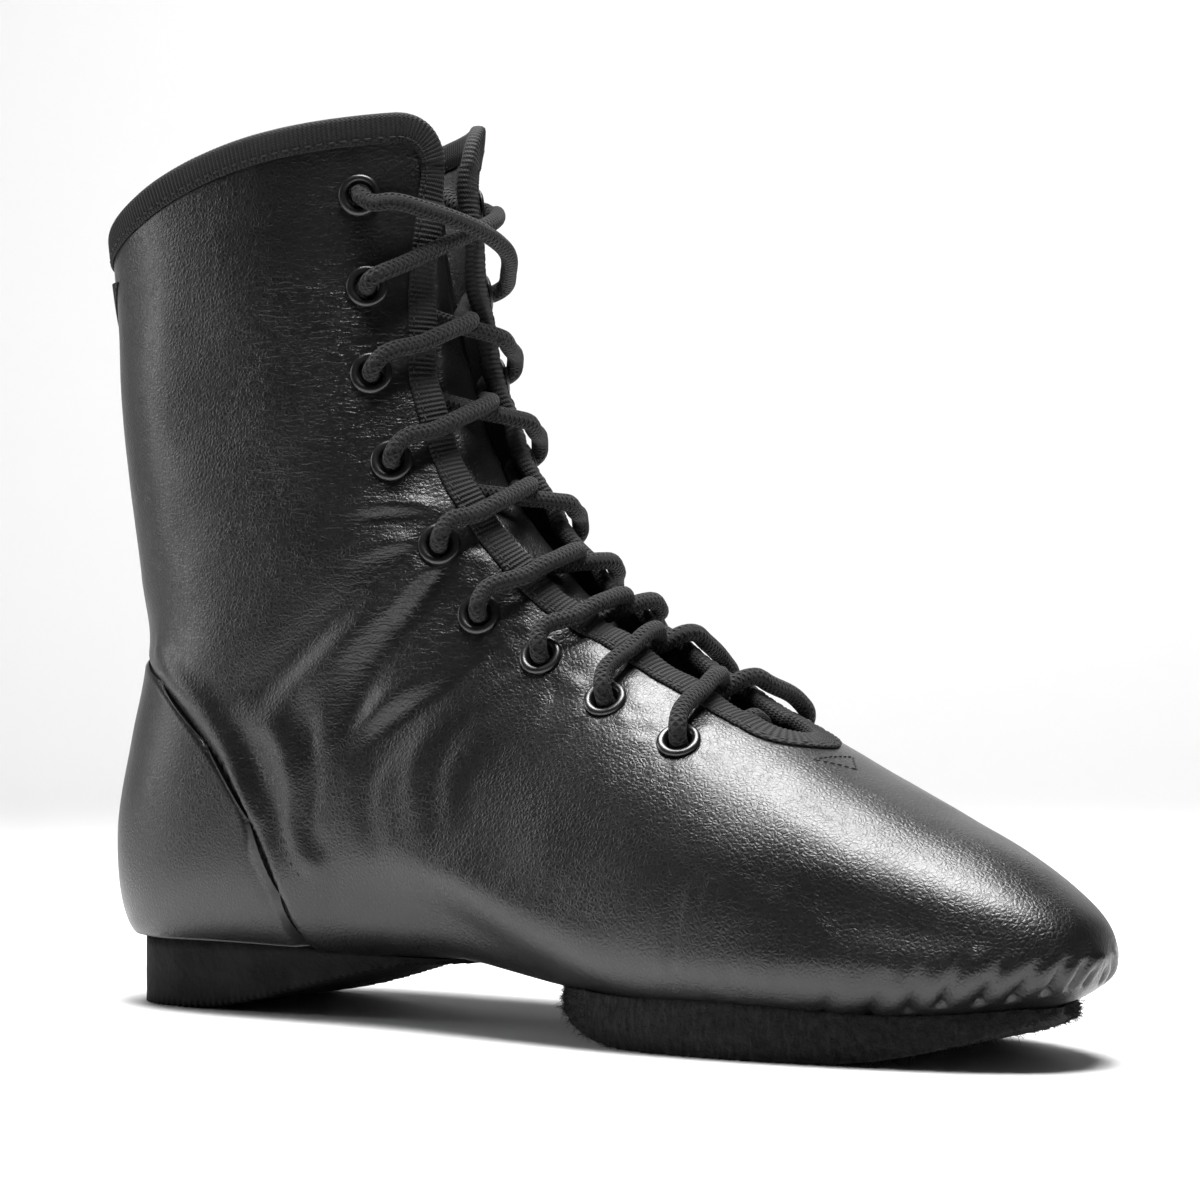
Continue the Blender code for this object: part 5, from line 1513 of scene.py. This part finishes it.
def top_strand(side, heights):
    """From the second eyelet over the throat into the top one of the other side, from outside."""
    centre, axis = SEATS[side, 1]
    target, target_axis = SEATS[-side, 0]
    go, come = lean(centre, target, axis), lean(target, centre, target_axis)
    rise = [off(centre, axis, -1.0), off(centre, axis, 1.5), off(centre, axis, 3.4, go, 1.0)]
    across = over_gap(side, 1, np.linspace(0.16, 0.86, len(heights)), heights)
    enter = [off(target, target_axis, up, come, far) for up, far in
             ((3.2, 3.2), (2.2, 0.8), (0.0, 0.0), (-2.6, 0.0), (-4.6, -2.5), (-4.8, -6.5))]
    return np.concatenate([rise, across, enter])


def smooth_path(points, step):
    """A cubic through all points, with slopes by distance, then even steps and a light average."""
    along = run_length(points)
    slopes = np.gradient(points, along, axis=0)
    wanted = np.arange(0, along[-1], step / 2)
    low = np.clip(np.searchsorted(along, wanted, "right") - 1, 0, len(along) - 2)
    gap = (along[low + 1] - along[low])[:, None]
    t = (wanted - along[low])[:, None] / gap
    curve = ((2 * t**3 - 3 * t**2 + 1) * points[low] + (t**3 - 2 * t**2 + t) * slopes[low] * gap
             + (-2 * t**3 + 3 * t**2) * points[low + 1] + (t**3 - t**2) * slopes[low + 1] * gap)
    curve = even_steps(curve, step)
    for _ in range(3):
        curve[1:-1] = (curve[:-2] + 2 * curve[1:-1] + curve[2:]) / 4
    return curve


near_parts, near_end = chain(-1)
far_parts, far_end = chain(1)
near_parts.append(top_strand(near_end, [5.0, 6.6, 6.8, 6.2, 5.4, 4.6]))
far_parts.append(top_strand(far_end, [3.6, 3.4, 3.2, 3.6, 3.6, 3.2]))
near_nine, near_axis = SEATS[-1, EYELETS - 1]
far_nine, far_axis = SEATS[1, EYELETS - 1]
toward = lean(near_nine, far_nine, near_axis)
row_nine = EYELET_ROWS[-1][0]
edges = [throat_edge(np.array([row_nine]), side)[0] for side in (-1, 1)]
bar_turns = np.array([edges[0] * 1.2, edges[0] * 0.5, 0.0, edges[1] * 0.5, edges[1] * 1.2])
bar_at, bar_out = look_up(np.full(5, row_nine), bar_turns)[:2]
bar = bar_at + bar_out * np.array([-4.7, -3.4, -2.4, -3.4, -4.7])[:, None] * MM
near_tuck = [off(near_nine, near_axis, -3.4, toward, 0.9),
             off(near_nine, near_axis, -4.6, toward, 3.2)]
far_tuck = [off(far_nine, far_axis, -4.6, toward, -3.2),
            off(far_nine, far_axis, -3.4, toward, -0.9)]
bar = np.concatenate([near_tuck, bar, far_tuck])
whole = np.concatenate([np.concatenate(near_parts)[::-1], bar, np.concatenate(far_parts)])
lace_line = smooth_path(whole, 0.45 * MM)
points, quads, caps, uv = tube(lace_line, LACE_RADIUS, LACE_SIDES)
lace = make_mesh("lace", points, [quads, caps], LACE, uv=uv)
dress(turn_outward(lace), "lace_cord", *[f"lace_crossing_{n}" for n in range(1, 9)], "lace_bar")
print("lace length, mm:", round(1000 * run_length(lace_line)[-1]))

# %% [markdown]
# The studio is plain: a pale sweep that runs from the floor up behind the boot, and large soft
# lamps. Black leather shows mostly what it reflects, so where the soft boxes stand matters more
# than how strong they are: one long box overhead for the ridge of the vamp, one above the toe for
# its side and the instep, and a low, weak one at the left for the shaft. Grids narrow their
# light, so that the room stays dark and the leather black, while a lamp of its own keeps the
# backdrop white.

# %% Floor and lights
bow = np.linspace(0, np.pi / 2, 14)
BOW_START, BOW_RADIUS = 0.9, 0.5
sweep_y = np.concatenate([np.linspace(-1.6, BOW_START, 12),
                          BOW_START + BOW_RADIUS * np.sin(bow)[1:], [1.4, 1.4]])
sweep_z = np.concatenate([np.zeros(12), BOW_RADIUS - BOW_RADIUS * np.cos(bow)[1:], [1.2, 2.2]])
sweep_x = np.linspace(-2.4, 2.4, 9)
grid = np.stack(np.broadcast_arrays(sweep_x[None, :], sweep_y[:, None], sweep_z[:, None]), -1)
cos, sin = np.cos(TOE_TURN), np.sin(TOE_TURN)
spun = np.stack([grid[..., 0] * cos - grid[..., 1] * sin, grid[..., 0] * sin + grid[..., 1] * cos,
                 grid[..., 2]], -1)
paper = Recipe("pale_paper", (0.86, 0.86, 0.86), 0.9).finish()
floor = make_mesh("floor", spun, grid_quads(*spun.shape[:2]), paper)


def soft_box(name, place, aim, size, power, spread):
    """A rectangular lamp at place, turned so that it looks at aim; a grid narrows its spread."""
    lamp = bpy.data.lights.new(name, "AREA")
    lamp.spread = np.radians(spread)
    lamp.shape, lamp.size, lamp.size_y, lamp.energy = "RECTANGLE", *size, power
    made = bpy.data.objects.new(name, lamp)
    made.location = place
    direction = np.array(aim) - np.array(place)
    back = -direction / np.linalg.norm(direction)
    made.rotation_euler = (np.arccos(back[2]), 0.0, np.arctan2(back[1], back[0]) + np.pi / 2)
    bpy.context.scene.collection.objects.link(made)


# Name, place, aim, size, power in watts, spread in degrees
LAMPS = [
    ("overhead", (-0.20, 0.12, 1.05), (0.02, 0.0, 0.05), (0.70, 0.34), 4.3, 90.0),
    ("left", (-0.95, -0.36, 0.36), (-0.05, 0.0, 0.10), (0.28, 0.62), 0.5, 80.0),
    ("above toe", (0.16, -0.10, 1.00), (0.07, -0.02, 0.05), (0.50, 0.28), 2.7, 75.0),
    ("backdrop", (-0.10, 0.45, 1.30), (-0.75, 1.15, 0.30), (1.6, 0.5), 12.0, 120.0),
]
for lamp in LAMPS:
    soft_box(*lamp)
world = bpy.data.worlds.new("studio")
world.use_nodes = True
background = world.node_tree.nodes["Background"]
background.inputs["Color"].default_value = (1.0, 1.0, 1.0, 1.0)
background.inputs["Strength"].default_value = 0.03
bpy.context.scene.world = world
view = bpy.context.scene.view_settings
view.view_transform, view.look, view.exposure, view.gamma = "Standard", "None", 0.0, 1.0
print("lamps:", len(LAMPS))
